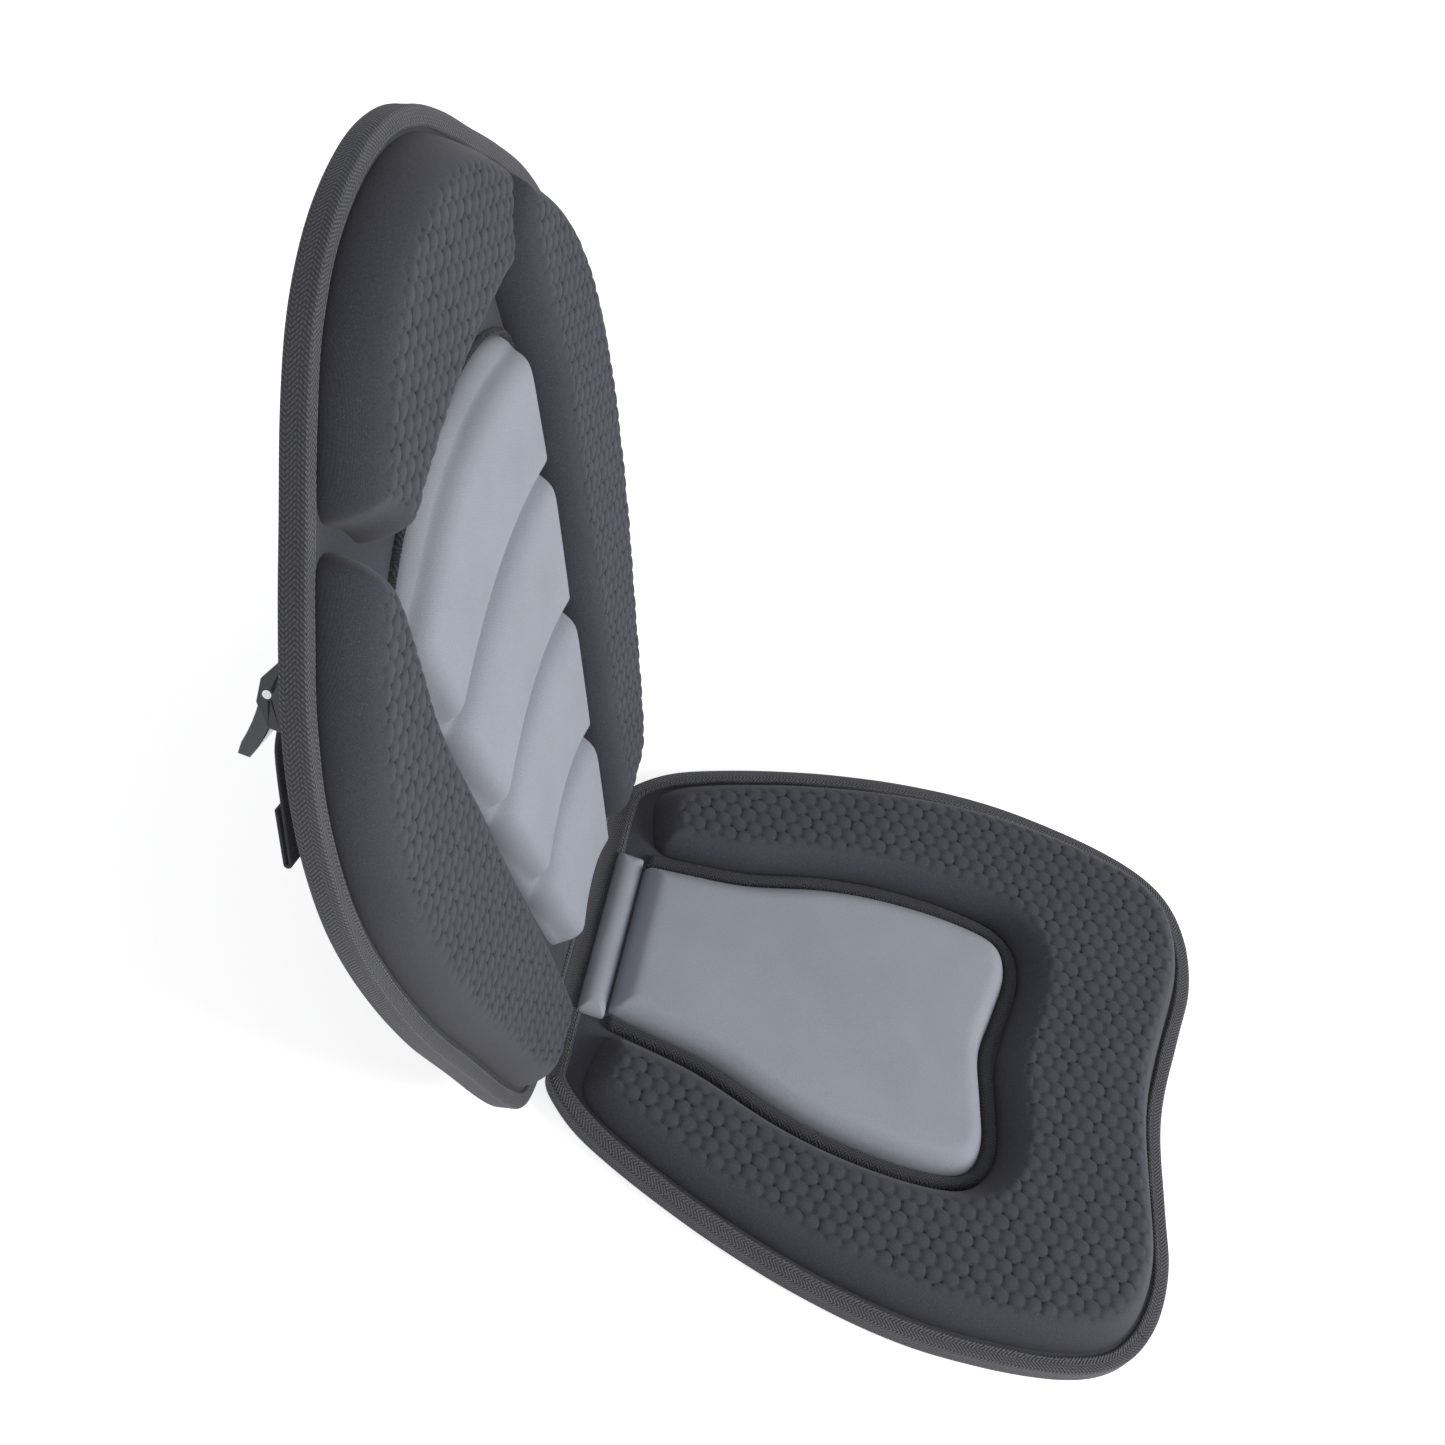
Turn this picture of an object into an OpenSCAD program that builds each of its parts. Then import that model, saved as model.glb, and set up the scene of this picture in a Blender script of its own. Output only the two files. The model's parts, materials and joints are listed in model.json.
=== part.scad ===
// Folding padded kayak seat: a moulded seat and a high back joined by a cloth hinge,
// with webbing straps, cam buckles and brass snap hooks behind the back.
// X runs across the seat, +Y to the rear, +Z up. The origin is on the floor, under
// the middle of the whole seat.

/* [Seat] */
// Length of the seat from the hinge line to its front lobes
seat_l = 370; // [320:1:430]
// Greatest width of the seat
seat_w = 355; // [320:1:430]
// Depth of the hollow in the middle of the front edge
front_hollow = 12; // [4:1:20]
// Height of the seat pad at its rear end
seat_pad_rear_h = 14; // [11:0.5:16]
// Height of the seat pad at its front edge
seat_pad_front_h = 23; // [18:0.5:30]

/* [Back] */
// Height of the back above the hinge line
back_h = 518; // [440:1:600]
// Greatest width of the back
back_w = 402; // [360:1:480]
// Lean of the back behind upright
recline = 25; // [12:1:40]
// Height of the back's pads at their lower ends
back_pad_low_h = 16; // [12:0.5:18]
// Height of the back's pads at the top of the back
back_pad_high_h = 25; // [20:0.5:32]

/* [Hinge] */
// Width of the cloth hinge
hinge_w = 196; // [160:1:220]
// Distance from the hinge line to the edge of each shell
hinge_setback = 4; // [3:0.5:8]
// Bare gap at each side of the hinge line, where the tape bends
hinge_gap = 1.5; // [1.3:0.1:2.5]
// Reach of the hinge tape over each shell
tape_reach = 7; // [5.5:0.5:8]

/* [Shells] */
// Thickness of each shell between its bindings
shell_t = 10; // [8:0.5:14]
// Thickness of the outer covers
cover_t = 1; // [0.6:0.1:1.5]
// Thickness of the stiffener sheets
stiffener_t = 2.5; // [1.5:0.5:4]
// Distance from the shell's edge to the stiffener
stiffener_inset = 14; // [10:1:24]
// Thickness of the binding and hinge tape
tape_t = 1.2; // [0.8:0.1:1.6]
// Lap of the edge binding over the shell's faces
binding_lap = 8; // [5:0.5:9]
// Distance from the shell's edge to the foot of the pads
pad_margin = 10; // [10:0.5:16]

/* [Seat centre] */
// Width of the grey centre pad at its widest
centre_w = 164; // [140:1:180]
// Width of the grey centre pad at its rear end
centre_rear_w = 100; // [80:1:116]
// Distance from the hinge line to the front of the centre pad
centre_front = 251; // [220:1:275]
// Distance from the hinge line to the rear of the centre pad
centre_rear = 26; // [25:0.5:34]
// Height of the centre pad
centre_h = 13; // [8:0.5:18]
// Width of the band sewn around the centre pad
centre_band_w = 9; // [6:0.5:10]
// Height of the band sewn around the centre pad
centre_band_h = 4; // [2:0.5:6]
// Height of the roll behind the centre pad
roll_h = 7; // [4:0.5:8]

/* [Back panel] */
// Half width of the ribbed panel at the hinge line
panel_low = 34; // [28:1:38]
// Half width that the panel would reach at the top of the back
panel_high = 135; // [120:1:140]
// Distance from the hinge line to the lower end of the ribs
rib_v0 = 42; // [36:1:50]
// Height of one rib along the back
rib_pitch = 83; // [76:1:83]
// Number of ribs
rib_count = 4; // [3:1:4]
// Groove between two ribs
rib_groove = 4; // [2:0.5:8]
// Drop from the middle of a rib to its ends
rib_arch = 14; // [6:1:22]
// Thickness of the panel under its ribs
panel_h = 8; // [5:0.5:10]
// Height of the ribs above the panel
rib_h = 8; // [4:0.5:12]
// Width of the piping around the panel
piping_w = 4; // [2:0.5:5]

/* [Webbing] */
// Width of the strap webbing
web_w = 25; // [20:1:30]
// Thickness of the strap webbing
web_t = 1.6; // [1.2:0.1:2]
// Lean of the upper straps away from upright
strap_lean = 24; // [10:1:35]
// Angle at which the cam buckle hangs away from the back
buckle_hang = 18; // [0:1:24]
// Length of the upper strap's hanging end
tail_l = 62; // [45:1:80]

/* [Buckle] */
// Height of the cam buckle's cheeks
cheek_h = 13; // [12:0.5:16]
// Thickness of the cam buckle's cheeks
cheek_t = 3; // [2.5:0.5:4]
// Length of the cam buckle's frame
buckle_l = 34; // [32:1:44]
// Length of the cam lever from its pin
lever_l = 34; // [30:1:40]
// Diameter of the lever pin
lever_pin_d = 4; // [3:0.5:5]

/* [Snap hook] */
// Thickness of the hook's brass rod
hook_rod = 4.5; // [4:0.5:5.5]
// Inner width of the hook
hook_mouth = 12; // [11:0.5:15]
// Inner length of the hook
hook_len = 24; // [22:1:30]
// Distance of the hook's swivel line from the rear cover
hook_off = 15; // [15:0.5:20]
// Diameter of the swivel stem
stem_d = 5; // [4:0.5:6]

/* [Hidden] */

CHARCOAL = [0.13, 0.13, 0.15];
BLACK = [0.07, 0.07, 0.08];
GREY = [0.47, 0.50, 0.56];
FOAM = [0.25, 0.25, 0.27];
SHEET = [0.80, 0.80, 0.78];
BRASS = [0.80, 0.66, 0.36];
STEEL = [0.70, 0.70, 0.72];

// Clearance between pieces of one shell that fit into each other
fit_gap = 0.1;
// Running clearance on a radius
run_gap = 0.06;
// Points along each stretch of a smooth outline
SPAN = 4;
// Fineness of round metal parts
FINE = 48;

shell_z = tape_t;
top_z = shell_z + shell_t;
hinge_z = top_z + tape_t / 2;
face_z = -tape_t / 2;
rear_z = face_z - shell_t;
rear_reach = (back_h + tape_t) * sin(recline) + (shell_t + 1.5 * tape_t) * cos(recline);
hinge_y = (seat_l + tape_t - rear_reach) / 2;

// Smooth curves -----------------------------------------------------------------

function curve(a, b, c, d, t) =
    0.5 * (2 * b + (c - a) * t + (2 * a - 5 * b + 4 * c - d) * t * t
        + (3 * b - a - 3 * c + d) * t * t * t);

function smooth_path(p) =
    let (n = len(p))
    [for (i = [0:n - 2]) for (j = [0:SPAN - 1])
        curve(p[max(i - 1, 0)], p[i], p[i + 1], p[min(i + 2, n - 1)], j / SPAN), p[n - 1]];

function reverse(p) = [for (i = [len(p) - 1:-1:0]) p[i]];
function mirrored(p) = [for (q = reverse(p)) [-q.x, q.y]];
function unit(v) = v / norm(v);

// Moves each point of an anticlockwise loop inwards by d, or outwards if d is negative
function inset(p, d) =
    let (n = len(p))
    [for (i = [0:n - 1])
        let (t = unit(p[(i + 1) % n] - p[(i + n - 1) % n])) p[i] + d * [-t.y, t.x]];

// Radius of the largest circle inside the loop that touches it at point i
function room(p, i) =
    let (n = len(p), t = unit(p[(i + 1) % n] - p[(i + n - 1) % n]))
    min([for (j = [0:n - 1]) if (min(abs(i - j), n - abs(i - j)) > 1)
        let (v = p[j] - p[i], a = v * [-t.y, t.x]) if (a > 0.01) v * v / (2 * a)]);

// Share of the inset that each point can move without meeting the far side of the loop
function free_share(p, deepest) = [for (i = [0:len(p) - 1]) min(1, 0.8 * room(p, i) / deepest)];

// Inset in which each point moves by its own share of d
function shared_inset(p, d, share) =
    let (moved = inset(p, d)) [for (i = [0:len(p) - 1]) p[i] + share[i] * (moved[i] - p[i])];

// The same path with n points, evenly shared out along its own points
function resample(p, n) =
    [for (i = [0:n - 1])
        let (u = i * (len(p) - 1) / (n - 1), k = min(floor(u), len(p) - 2))
        p[k] + (u - k) * (p[k + 1] - p[k])];

// Joins rings of equally many points into one closed solid. A ring of two paths that run
// side by side, out and back, is closed by a strip of faces across from path to path
module loft(rings, side_by_side) {
    n = len(rings[0]);
    m = len(rings);
    sides = [for (k = [0:m - 2]) for (i = [0:n - 1])
        let (j = (i + 1) % n) [k * n + i, (k + 1) * n + i, (k + 1) * n + j, k * n + j]];
    cap = side_by_side ?
        [for (i = [0:n / 2 - 2]) [i, i + 1, n - 2 - i, n - 1 - i]] : [[for (i = [0:n - 1]) i]];
    head = [for (f = cap) reverse([for (i = f) (m - 1) * n + i])];
    polyhedron(points = [for (r = rings) each r], faces = concat(cap, sides, head));
}

// Cushion over an outline: each step is [inset, share of the height], and the height
// runs from h0 where y is y0 to h1 where y is y1
module cushion(outline, steps, h0, h1, y0, y1, side_by_side = false) {
    share = free_share(outline, steps[len(steps) - 1][0]);
    loft([for (s = steps) [for (q = shared_inset(outline, s[0], share))
        [q.x, q.y, s[1] * (h0 + (h1 - h0) * (q.y - y0) / (y1 - y0))]]], side_by_side);
}

PAD_STEPS = [[0, 0], [1.5, 0.4], [4, 0.72], [8, 0.92], [14, 1]];
THIN_STEPS = [[0, 0], [0.8, 0.45], [2.5, 0.8], [5, 1]];

// Outlines ----------------------------------------------------------------------

// Seat outline from the middle of the front edge to the hinge, right half
SEAT_HALF = [
    [0, front_hollow - seat_l],
    [0.33 * seat_w / 2, 0.4 * front_hollow - seat_l],
    [0.53 * seat_w / 2, -seat_l],
    [0.73 * seat_w / 2, -0.984 * seat_l],
    [0.884 * seat_w / 2, -0.932 * seat_l],
    [0.967 * seat_w / 2, -0.827 * seat_l],
    [seat_w / 2, -0.649 * seat_l],
    [0.972 * seat_w / 2, -0.5 * seat_l],
    [0.9 * seat_w / 2, -0.349 * seat_l],
    [0.796 * seat_w / 2, -0.203 * seat_l],
    [0.674 * seat_w / 2, -0.076 * seat_l],
    [hinge_w / 2, -hinge_setback]
];
SEAT = smooth_path(concat([for (i = [11:-1:1]) [-SEAT_HALF[i].x, SEAT_HALF[i].y]], SEAT_HALF));

// Back outline from the hinge to the top, right half
BACK_HALF = [
    [hinge_w / 2, hinge_setback],
    [0.62 * back_w / 2, 0.028 * back_h],
    [0.705 * back_w / 2, 0.09 * back_h],
    [0.81 * back_w / 2, 0.215 * back_h],
    [0.91 * back_w / 2, 0.335 * back_h],
    [0.98 * back_w / 2, 0.462 * back_h],
    [back_w / 2, 0.57 * back_h],
    [0.955 * back_w / 2, 0.67 * back_h],
    [0.86 * back_w / 2, 0.748 * back_h],
    [0.725 * back_w / 2, 0.814 * back_h],
    [0.6 * back_w / 2, 0.866 * back_h],
    [0.47 * back_w / 2, 0.92 * back_h],
    [0.33 * back_w / 2, 0.965 * back_h],
    [0.17 * back_w / 2, 0.992 * back_h],
    [0, back_h]
];
BACK = smooth_path(concat(BACK_HALF, [for (i = [13:-1:0]) [-BACK_HALF[i].x, BACK_HALF[i].y]]));

// Grey centre pad from the middle of its front edge to its rear end, right half
CENTRE_HALF = [
    [0, 9 - centre_front],
    [0.36 * centre_w / 2, 4 - centre_front],
    [0.7 * centre_w / 2, -centre_front],
    [0.93 * centre_w / 2, 9 - centre_front],
    [centre_w / 2, 38 - centre_front],
    [0.985 * centre_w / 2, 80 - centre_front],
    [0.9 * centre_w / 2, 120 - centre_front],
    [centre_rear_w / 2 + 9, 166 - centre_front],
    [centre_rear_w / 2 + 3, -centre_rear - 22],
    [centre_rear_w / 2, -centre_rear]
];
CENTRE = smooth_path(concat([for (i = [9:-1:1]) [-CENTRE_HALF[i].x, CENTRE_HALF[i].y]],
    CENTRE_HALF));

// Seat pad: a horseshoe between the shell's edge and the band around the centre pad
pad_rear = centre_rear - centre_band_w;
SEAT_OUTER = inset(SEAT, pad_margin);
SEAT_INNER = inset(CENTRE, -centre_band_w - 1);
SEAT_PAD = concat(
    resample([for (q = SEAT_OUTER) if (q.y < -pad_rear) q], 80),
    reverse(resample([for (q = SEAT_INNER) if (q.y < -centre_rear) q], 80)));

// Half width of the ribbed panel at height v up the back
function panel_half(v) = panel_low + (panel_high - panel_low) * v / back_h;

// Side pad: its outer edge follows the shell, its inner edge follows the panel
pad_low = 15;
shoulder_v = 0.82 * back_h;
SIDE_INNER = smooth_path([
    [0.617 * back_w / 2, 0.832 * back_h],
    [0.55 * back_w / 2, 0.813 * back_h],
    [0.503 * back_w / 2, 0.77 * back_h],
    [0.505 * back_w / 2, 0.69 * back_h],
    [panel_half(0.61 * back_h) + 7, 0.61 * back_h],
    [panel_half(0.474 * back_h) + 9, 0.474 * back_h],
    [panel_half(0.339 * back_h) + 12, 0.339 * back_h],
    [panel_half(0.193 * back_h) + 14, 0.193 * back_h],
    [panel_half(0.08 * back_h) + 18, 0.08 * back_h],
    [panel_half(pad_low) + 22, pad_low]
]);
SIDE_PAD = concat(
    [for (q = inset(BACK, pad_margin)) if (q.x > 0 && q.y > pad_low && q.y < shoulder_v) q],
    SIDE_INNER);

// Top pad: follows the shell above the shoulders and arches over the panel
crest_v = 0.847 * back_h;
TOP_LOWER = smooth_path([
    [-0.56 * back_w / 2, 0.842 * back_h],
    [-0.49 * back_w / 2, 0.812 * back_h],
    [-0.43 * back_w / 2, 0.768 * back_h],
    [-0.3 * back_w / 2, 0.776 * back_h],
    [0, 0.787 * back_h],
    [0.3 * back_w / 2, 0.776 * back_h],
    [0.43 * back_w / 2, 0.768 * back_h],
    [0.49 * back_w / 2, 0.812 * back_h],
    [0.56 * back_w / 2, 0.842 * back_h]
]);
TOP_PAD = concat([for (q = inset(BACK, pad_margin)) if (q.y > crest_v) q], TOP_LOWER);

// Ribbed panel, right half from the bottom to the top
panel_top = rib_v0 + rib_count * rib_pitch;
PANEL_HALF = [
    [panel_half(rib_v0) - 10, rib_v0 - rib_arch / 2 - 3],
    [panel_half(rib_v0) + 2, rib_v0 + 6],
    [panel_half(rib_v0 + rib_pitch), rib_v0 + rib_pitch],
    [panel_half(panel_top - 2 * rib_pitch), panel_top - 2 * rib_pitch],
    [panel_half(panel_top - rib_pitch), panel_top - rib_pitch],
    [panel_half(panel_top - 34) - 1, panel_top - 34],
    [0.42 * back_w / 2, panel_top - 13],
    [0.25 * back_w / 2, panel_top + 2],
    [0, panel_top + 8]
];
PANEL = smooth_path(concat(PANEL_HALF, [for (i = [7:-1:0]) [-PANEL_HALF[i].x, PANEL_HALF[i].y]]));

// One rib: two arched edges and rounded ends
function rib_outline(i) =
    let (low = rib_v0 + i * rib_pitch + rib_groove / 2,
        high = rib_v0 + (i + 1) * rib_pitch - rib_groove / 2,
        half_low = panel_half(low) - 9,
        half_high = panel_half(high) - 5 - (i == rib_count - 1 ? 8 : 0),
        arch = i == rib_count - 1 ? 1.7 * rib_arch : rib_arch,
        steps = 8)
    concat(
        [for (k = [-steps:steps]) let (u = k / steps)
            [u * half_low, low - rib_arch * u * u]],
        [[half_low + 4, low - rib_arch + 7], [half_high + 1, high - arch - 12]],
        [for (k = [steps:-1:-steps]) let (u = k / steps)
            [u * half_high, high - arch * u * u]],
        [[-half_high - 1, high - arch - 12], [-half_low - 4, low - rib_arch + 7]]);

// Places ------------------------------------------------------------------------

module on_seat() translate([0, hinge_y, 0]) children();
module on_back() translate([0, hinge_y, hinge_z]) rotate([90 - recline, 0, 0]) children();
// side is 1 for the sitter's left and -1 for the sitter's right
module on_side(side) mirror([side < 0 ? 1 : 0, 0, 0]) children();
// Place behind the back: +Z points away from the rear cover and +Y up the back
module on_rear(side, x, v, lean) {
    on_back() on_side(side) translate([x, v, rear_z]) rotate([0, 180, lean]) children();
}

// Points round an arc from angle a0 to a1
function turn(centre, r, a0, a1) =
    [for (k = [0:6]) let (a = a0 + (a1 - a0) * k / 6) centre + r * [cos(a), sin(a)]];

// Flat band of webbing of width w along a route of [y, z] points
module webbing(route, w, t) {
    n = len(route);
    along = [for (i = [0:n - 1]) unit(route[min(i + 1, n - 1)] - route[max(i - 1, 0)])];
    left = [for (i = [0:n - 1]) route[i] + t / 2 * [-along[i].y, along[i].x]];
    right = [for (i = [0:n - 1]) route[i] - t / 2 * [-along[i].y, along[i].x]];
    rotate([90, 0, 90]) linear_extrude(w, center = true) polygon(concat(left, reverse(right)));
}

// Shell pieces ------------------------------------------------------------------

// Tape that wraps a shell's edge. The shell lies from z = 0 up. Along the hinge its upper
// lap is left out, where the hinge tape and the rear roll lie
module edge_binding(outline) {
    reach = hinge_setback + binding_lap + 1;
    difference() {
        translate([0, 0, -tape_t]) linear_extrude(shell_t + 2 * tape_t)
            polygon(inset(outline, -tape_t));
        linear_extrude(shell_t) polygon(inset(outline, -fit_gap));
        translate([0, 0, -2 * tape_t]) linear_extrude(shell_t + 4 * tape_t)
            polygon(inset(outline, binding_lap));
        translate([-hinge_w / 2, -reach, shell_t - fit_gap])
            cube([hinge_w, 2 * reach, 2 * tape_t]);
    }
}

module plate(outline, z0, t) translate([0, 0, z0]) linear_extrude(t) polygon(outline);

// Outline of a stiffener, or of the pocket for it
function core(outline, d) = shared_inset(outline, d, free_share(outline, stiffener_inset));

// Foam slab with a pocket for its stiffener, which lies on the cover under it
module foam_slab(outline) {
    difference() {
        plate(outline, cover_t, shell_t - 2 * cover_t);
        plate(core(outline, stiffener_inset - fit_gap), cover_t - 1, stiffener_t + fit_gap + 1);
    }
}

module seat_edge_binding() color(BLACK) on_seat() translate([0, 0, shell_z]) edge_binding(SEAT);
module seat_bottom_cover() color(BLACK) on_seat() plate(SEAT, shell_z, cover_t);
module seat_stiffener() {
    color(SHEET) on_seat() plate(core(SEAT, stiffener_inset), shell_z + cover_t, stiffener_t);
}
module seat_base_foam() color(FOAM) on_seat() translate([0, 0, shell_z]) foam_slab(SEAT);
module seat_top_cover() color(CHARCOAL) on_seat() plate(SEAT, top_z - cover_t, cover_t);

module seat_pad() {
    color(CHARCOAL) on_seat() translate([0, 0, top_z])
        cushion(SEAT_PAD, PAD_STEPS, seat_pad_rear_h, seat_pad_front_h, -pad_rear, -seat_l, true);
}

module centre_pad() {
    color(GREY) on_seat() translate([0, 0, top_z])
        cushion(CENTRE, PAD_STEPS, centre_h, centre_h, 0, 1);
}

module centre_band() {
    color(BLACK) on_seat() translate([0, 0, top_z]) difference() {
        linear_extrude(centre_band_h) polygon(inset(CENTRE, -centre_band_w));
        translate([0, 0, -1]) linear_extrude(centre_band_h + 2) polygon(inset(CENTRE, -0.4));
        translate([-seat_w / 2, -centre_rear, -1]) cube([seat_w, seat_l, centre_band_h + 2]);
    }
}

module rear_roll() {
    depth = centre_rear - tape_reach - 3;
    mid = -(centre_rear + tape_reach) / 2;
    round_r = (roll_h * roll_h + depth * depth / 4) / (2 * roll_h);
    color(GREY) on_seat() translate([0, mid, top_z]) intersection() {
        translate([0, 0, roll_h - round_r]) rotate([0, 90, 0])
            cylinder(h = centre_rear_w + 8, r = round_r, center = true, $fn = FINE);
        translate([-centre_rear_w, -depth, 0]) cube([2 * centre_rear_w, 2 * depth, roll_h + 1]);
    }
}

module hinge_strip() {
    translate([-hinge_w / 2 + fit_gap, 0, 0])
        cube([hinge_w - 2 * fit_gap, tape_reach - hinge_gap, tape_t]);
}

module seat_hinge_tape() {
    color(BLACK) on_seat() translate([0, -tape_reach, top_z]) hinge_strip();
}
module back_hinge_tape() color(BLACK) on_back() translate([0, hinge_gap, face_z]) hinge_strip();

module back_edge_binding() color(BLACK) on_back() translate([0, 0, rear_z]) edge_binding(BACK);
module back_rear_cover() color(BLACK) on_back() plate(BACK, rear_z, cover_t);
module back_stiffener() {
    color(SHEET) on_back() plate(core(BACK, stiffener_inset), rear_z + cover_t, stiffener_t);
}
module back_base_foam() color(FOAM) on_back() translate([0, 0, rear_z]) foam_slab(BACK);
module back_front_cover() color(CHARCOAL) on_back() plate(BACK, face_z - cover_t, cover_t);

module back_cushion(outline) {
    color(CHARCOAL) on_back() translate([0, 0, face_z])
        cushion(outline, PAD_STEPS, back_pad_low_h, back_pad_high_h, 0, back_h);
}

module top_pad() back_cushion(TOP_PAD);
module side_pad(side) back_cushion(side > 0 ? SIDE_PAD : mirrored(SIDE_PAD));

module back_panel() {
    color(GREY) on_back() translate([0, 0, face_z])
        cushion(PANEL, THIN_STEPS, panel_h, panel_h, 0, 1);
}

module panel_piping() {
    color(BLACK) on_back() translate([0, 0, face_z]) difference() {
        linear_extrude(panel_h / 2) polygon(inset(PANEL, -piping_w));
        translate([0, 0, -1]) linear_extrude(panel_h) polygon(inset(PANEL, -0.2));
        translate([-back_w, 0, -1]) cube([2 * back_w, panel_top - rib_pitch / 2, panel_h]);
    }
}

module rib(i) {
    color(GREY) on_back() translate([0, 0, face_z + panel_h])
        cushion(rib_outline(i), THIN_STEPS, rib_h, rib_h, 0, 1, side_by_side = true);
}

// Straps and hardware, drawn for one side ----------------------------------------

// Places of the upper strap's buckle, the snap hook and the pull tab
upper_x = 0.68 * back_w / 2;
upper_v = 0.715 * back_h;
hook_x = 0.79 * back_w / 2;
hook_v = 0.4 * back_h;
tab_x = 0.7 * back_w / 2;
tab_v = 0.3 * back_h;

// Radius at which doubled webbing turns back on itself
fold_r = 0.8 * web_t;
patch_l = 26;
patch_t = 1.6;
// Webbing height as it enters the buckle over its floor
floor_t = 2;
// Clearance under webbing that lies on something
lay_gap = 0.25;
pin_y = -2;
pin_z = patch_t + cheek_h - lever_pin_d / 2 - 1.8;
frame_w = web_w + 1.6 + 2 * cheek_t;
lever_w = web_w + 0.8;

// Bend under the upper anchor, below which the strap and its buckle hang
hang_y = buckle_l / 2 + 2;

module at_upper(side) on_rear(side, upper_x, upper_v, strap_lean) children();

module at_buckle(side) {
    at_upper(side) translate([0, hang_y, patch_t]) rotate([-buckle_hang, 0, 0])
        translate([0, -hang_y, -patch_t]) children();
}

// A point of the strap's side view, turned with the buckle about the bend
function hung(q) =
    let (v = q - [hang_y, patch_t])
    [hang_y + v.x * cos(buckle_hang) + v.y * sin(buckle_hang),
        patch_t - v.x * sin(buckle_hang) + v.y * cos(buckle_hang)];

module upper_anchor(side) {
    color(BLACK) at_upper(side) translate([-web_w / 2 - 2, buckle_l / 2 + 2, 0])
        cube([web_w + 4, patch_l, patch_t]);
}

// Webbing from the anchor through the buckle, then a doubled hanging end
module upper_strap(side) {
    low = patch_t + floor_t + web_t / 2 + fit_gap;
    leaves = hung([-buckle_l / 2 - 3, low]);
    tail_end = -buckle_l / 2 - tail_l;
    down = smooth_path([
        [buckle_l / 2 + patch_l - 1, patch_t + web_t / 2 + lay_gap],
        [buckle_l / 2 + 8, patch_t + web_t / 2 + 2 * lay_gap],
        hung([buckle_l / 2, low]),
        hung([0, low]),
        leaves,
        [leaves.x - 14, leaves.y + 2.4],
        [tail_end + 10, leaves.y + 2.8]
    ]);
    back_up = leaves.y + 2.8;
    route = concat(down, turn([tail_end, back_up + fold_r], fold_r, -90, -270),
        [[tail_end + 14, back_up + 0.2 + 2 * fold_r], [tail_end + 26, back_up + 0.4 + 2 * fold_r]]);
    color(BLACK) at_upper(side) webbing(route, web_w, web_t);
}

module buckle_frame(side) {
    color(BLACK) at_buckle(side) difference() {
        union() {
            translate([-frame_w / 2, -buckle_l / 2, patch_t]) cube([frame_w, buckle_l, floor_t]);
            for (x = [-frame_w / 2, frame_w / 2 - cheek_t]) {
                translate([x, 0, patch_t]) rotate([90, 0, 90]) linear_extrude(cheek_t) polygon([
                    [-buckle_l / 2, 0], [buckle_l / 2, 0], [buckle_l / 2, 0.4 * cheek_h],
                    [pin_y + 6, cheek_h], [pin_y - 5, cheek_h], [-buckle_l / 2, 0.5 * cheek_h]
                ]);
            }
        }
        translate([0, pin_y, pin_z]) rotate([0, 90, 0])
            cylinder(h = 2 * frame_w, d = lever_pin_d, center = true, $fn = FINE);
    }
}

module lever_pin(side) {
    color(STEEL) at_buckle(side) translate([0, pin_y, pin_z]) rotate([0, 90, 0])
        cylinder(h = frame_w, d = lever_pin_d, center = true, $fn = FINE);
}

// Cam lever: a round hub on the pin with a curved thumb blade
module cam_lever(side) {
    hub_r = lever_pin_d / 2 + 2;
    color([0.05, 0.06, 0.10]) at_buckle(side) translate([0, pin_y, pin_z]) rotate([90, 0, 90])
        difference() {
            linear_extrude(lever_w, center = true) polygon(concat(
                [for (a = [-90:15:90]) hub_r * [cos(a), sin(a)]],
                [for (k = [1:6]) let (u = k / 6)
                    [-lever_l * u, hub_r + 7.5 * u * u - 1.5 * u - (k == 6 ? 1.5 : 0)]],
                [for (k = [6:-1:1]) let (u = k / 6)
                    [-lever_l * u, -hub_r + 9 * u * u - 2 * u]]));
            cylinder(h = 2 * lever_w, r = lever_pin_d / 2 + run_gap, center = true, $fn = FINE);
        }
}

// Snap hook: the swivel line runs up the back at hook_off from the rear cover
eye_bar = 3.5;
eye_w = web_w + 2;
eye_in = 7;
collar_l = 7;
collar_r = stem_d / 2 + 2.2;
ring_r = hook_mouth / 2 + hook_rod;
hook_y0 = eye_in / 2 + eye_bar + 1;
module at_hook(side) on_rear(side, hook_x, hook_v, 0) translate([0, 0, hook_off]) children();

module lower_anchor(side) {
    color(BLACK) on_rear(side, hook_x, hook_v, 0)
        translate([-web_w / 2 - 2, -12 - patch_l, 0]) cube([web_w + 4, patch_l, patch_t]);
}

// Webbing that rises from its anchor, turns round the eye's bar and comes back
module lower_strap(side) {
    bar_y = -eye_in / 2 - eye_bar / 2;
    turn = eye_bar / sqrt(2) + web_t / 2 + lay_gap;
    start = patch_t + web_t / 2 + lay_gap;
    doubled = 1.3 * web_t;
    route = concat(
        smooth_path([[-12 - patch_l, start], [-26, start + 0.1], [-19, start + 3.5],
            [bar_y - 6, hook_off - turn - 0.6]]),
        [for (a = [-80:20:80]) [bar_y + turn * cos(a), hook_off + turn * sin(a)]],
        smooth_path([[bar_y - 6, hook_off + turn - 0.8], [-19, start + 3.5 + 1.4 * doubled],
            [-26, start + 0.1 + doubled], [-12 - patch_l, start + doubled]]));
    color(BLACK) on_rear(side, hook_x, hook_v, 0) webbing(route, web_w, web_t);
}

module rod_bar(p, q, d) {
    v = q - p;
    translate(p) rotate([0, acos(v.z / norm(v)), atan2(v.y, v.x)])
        cylinder(h = norm(v), d = d, $fn = FINE);
}

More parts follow.
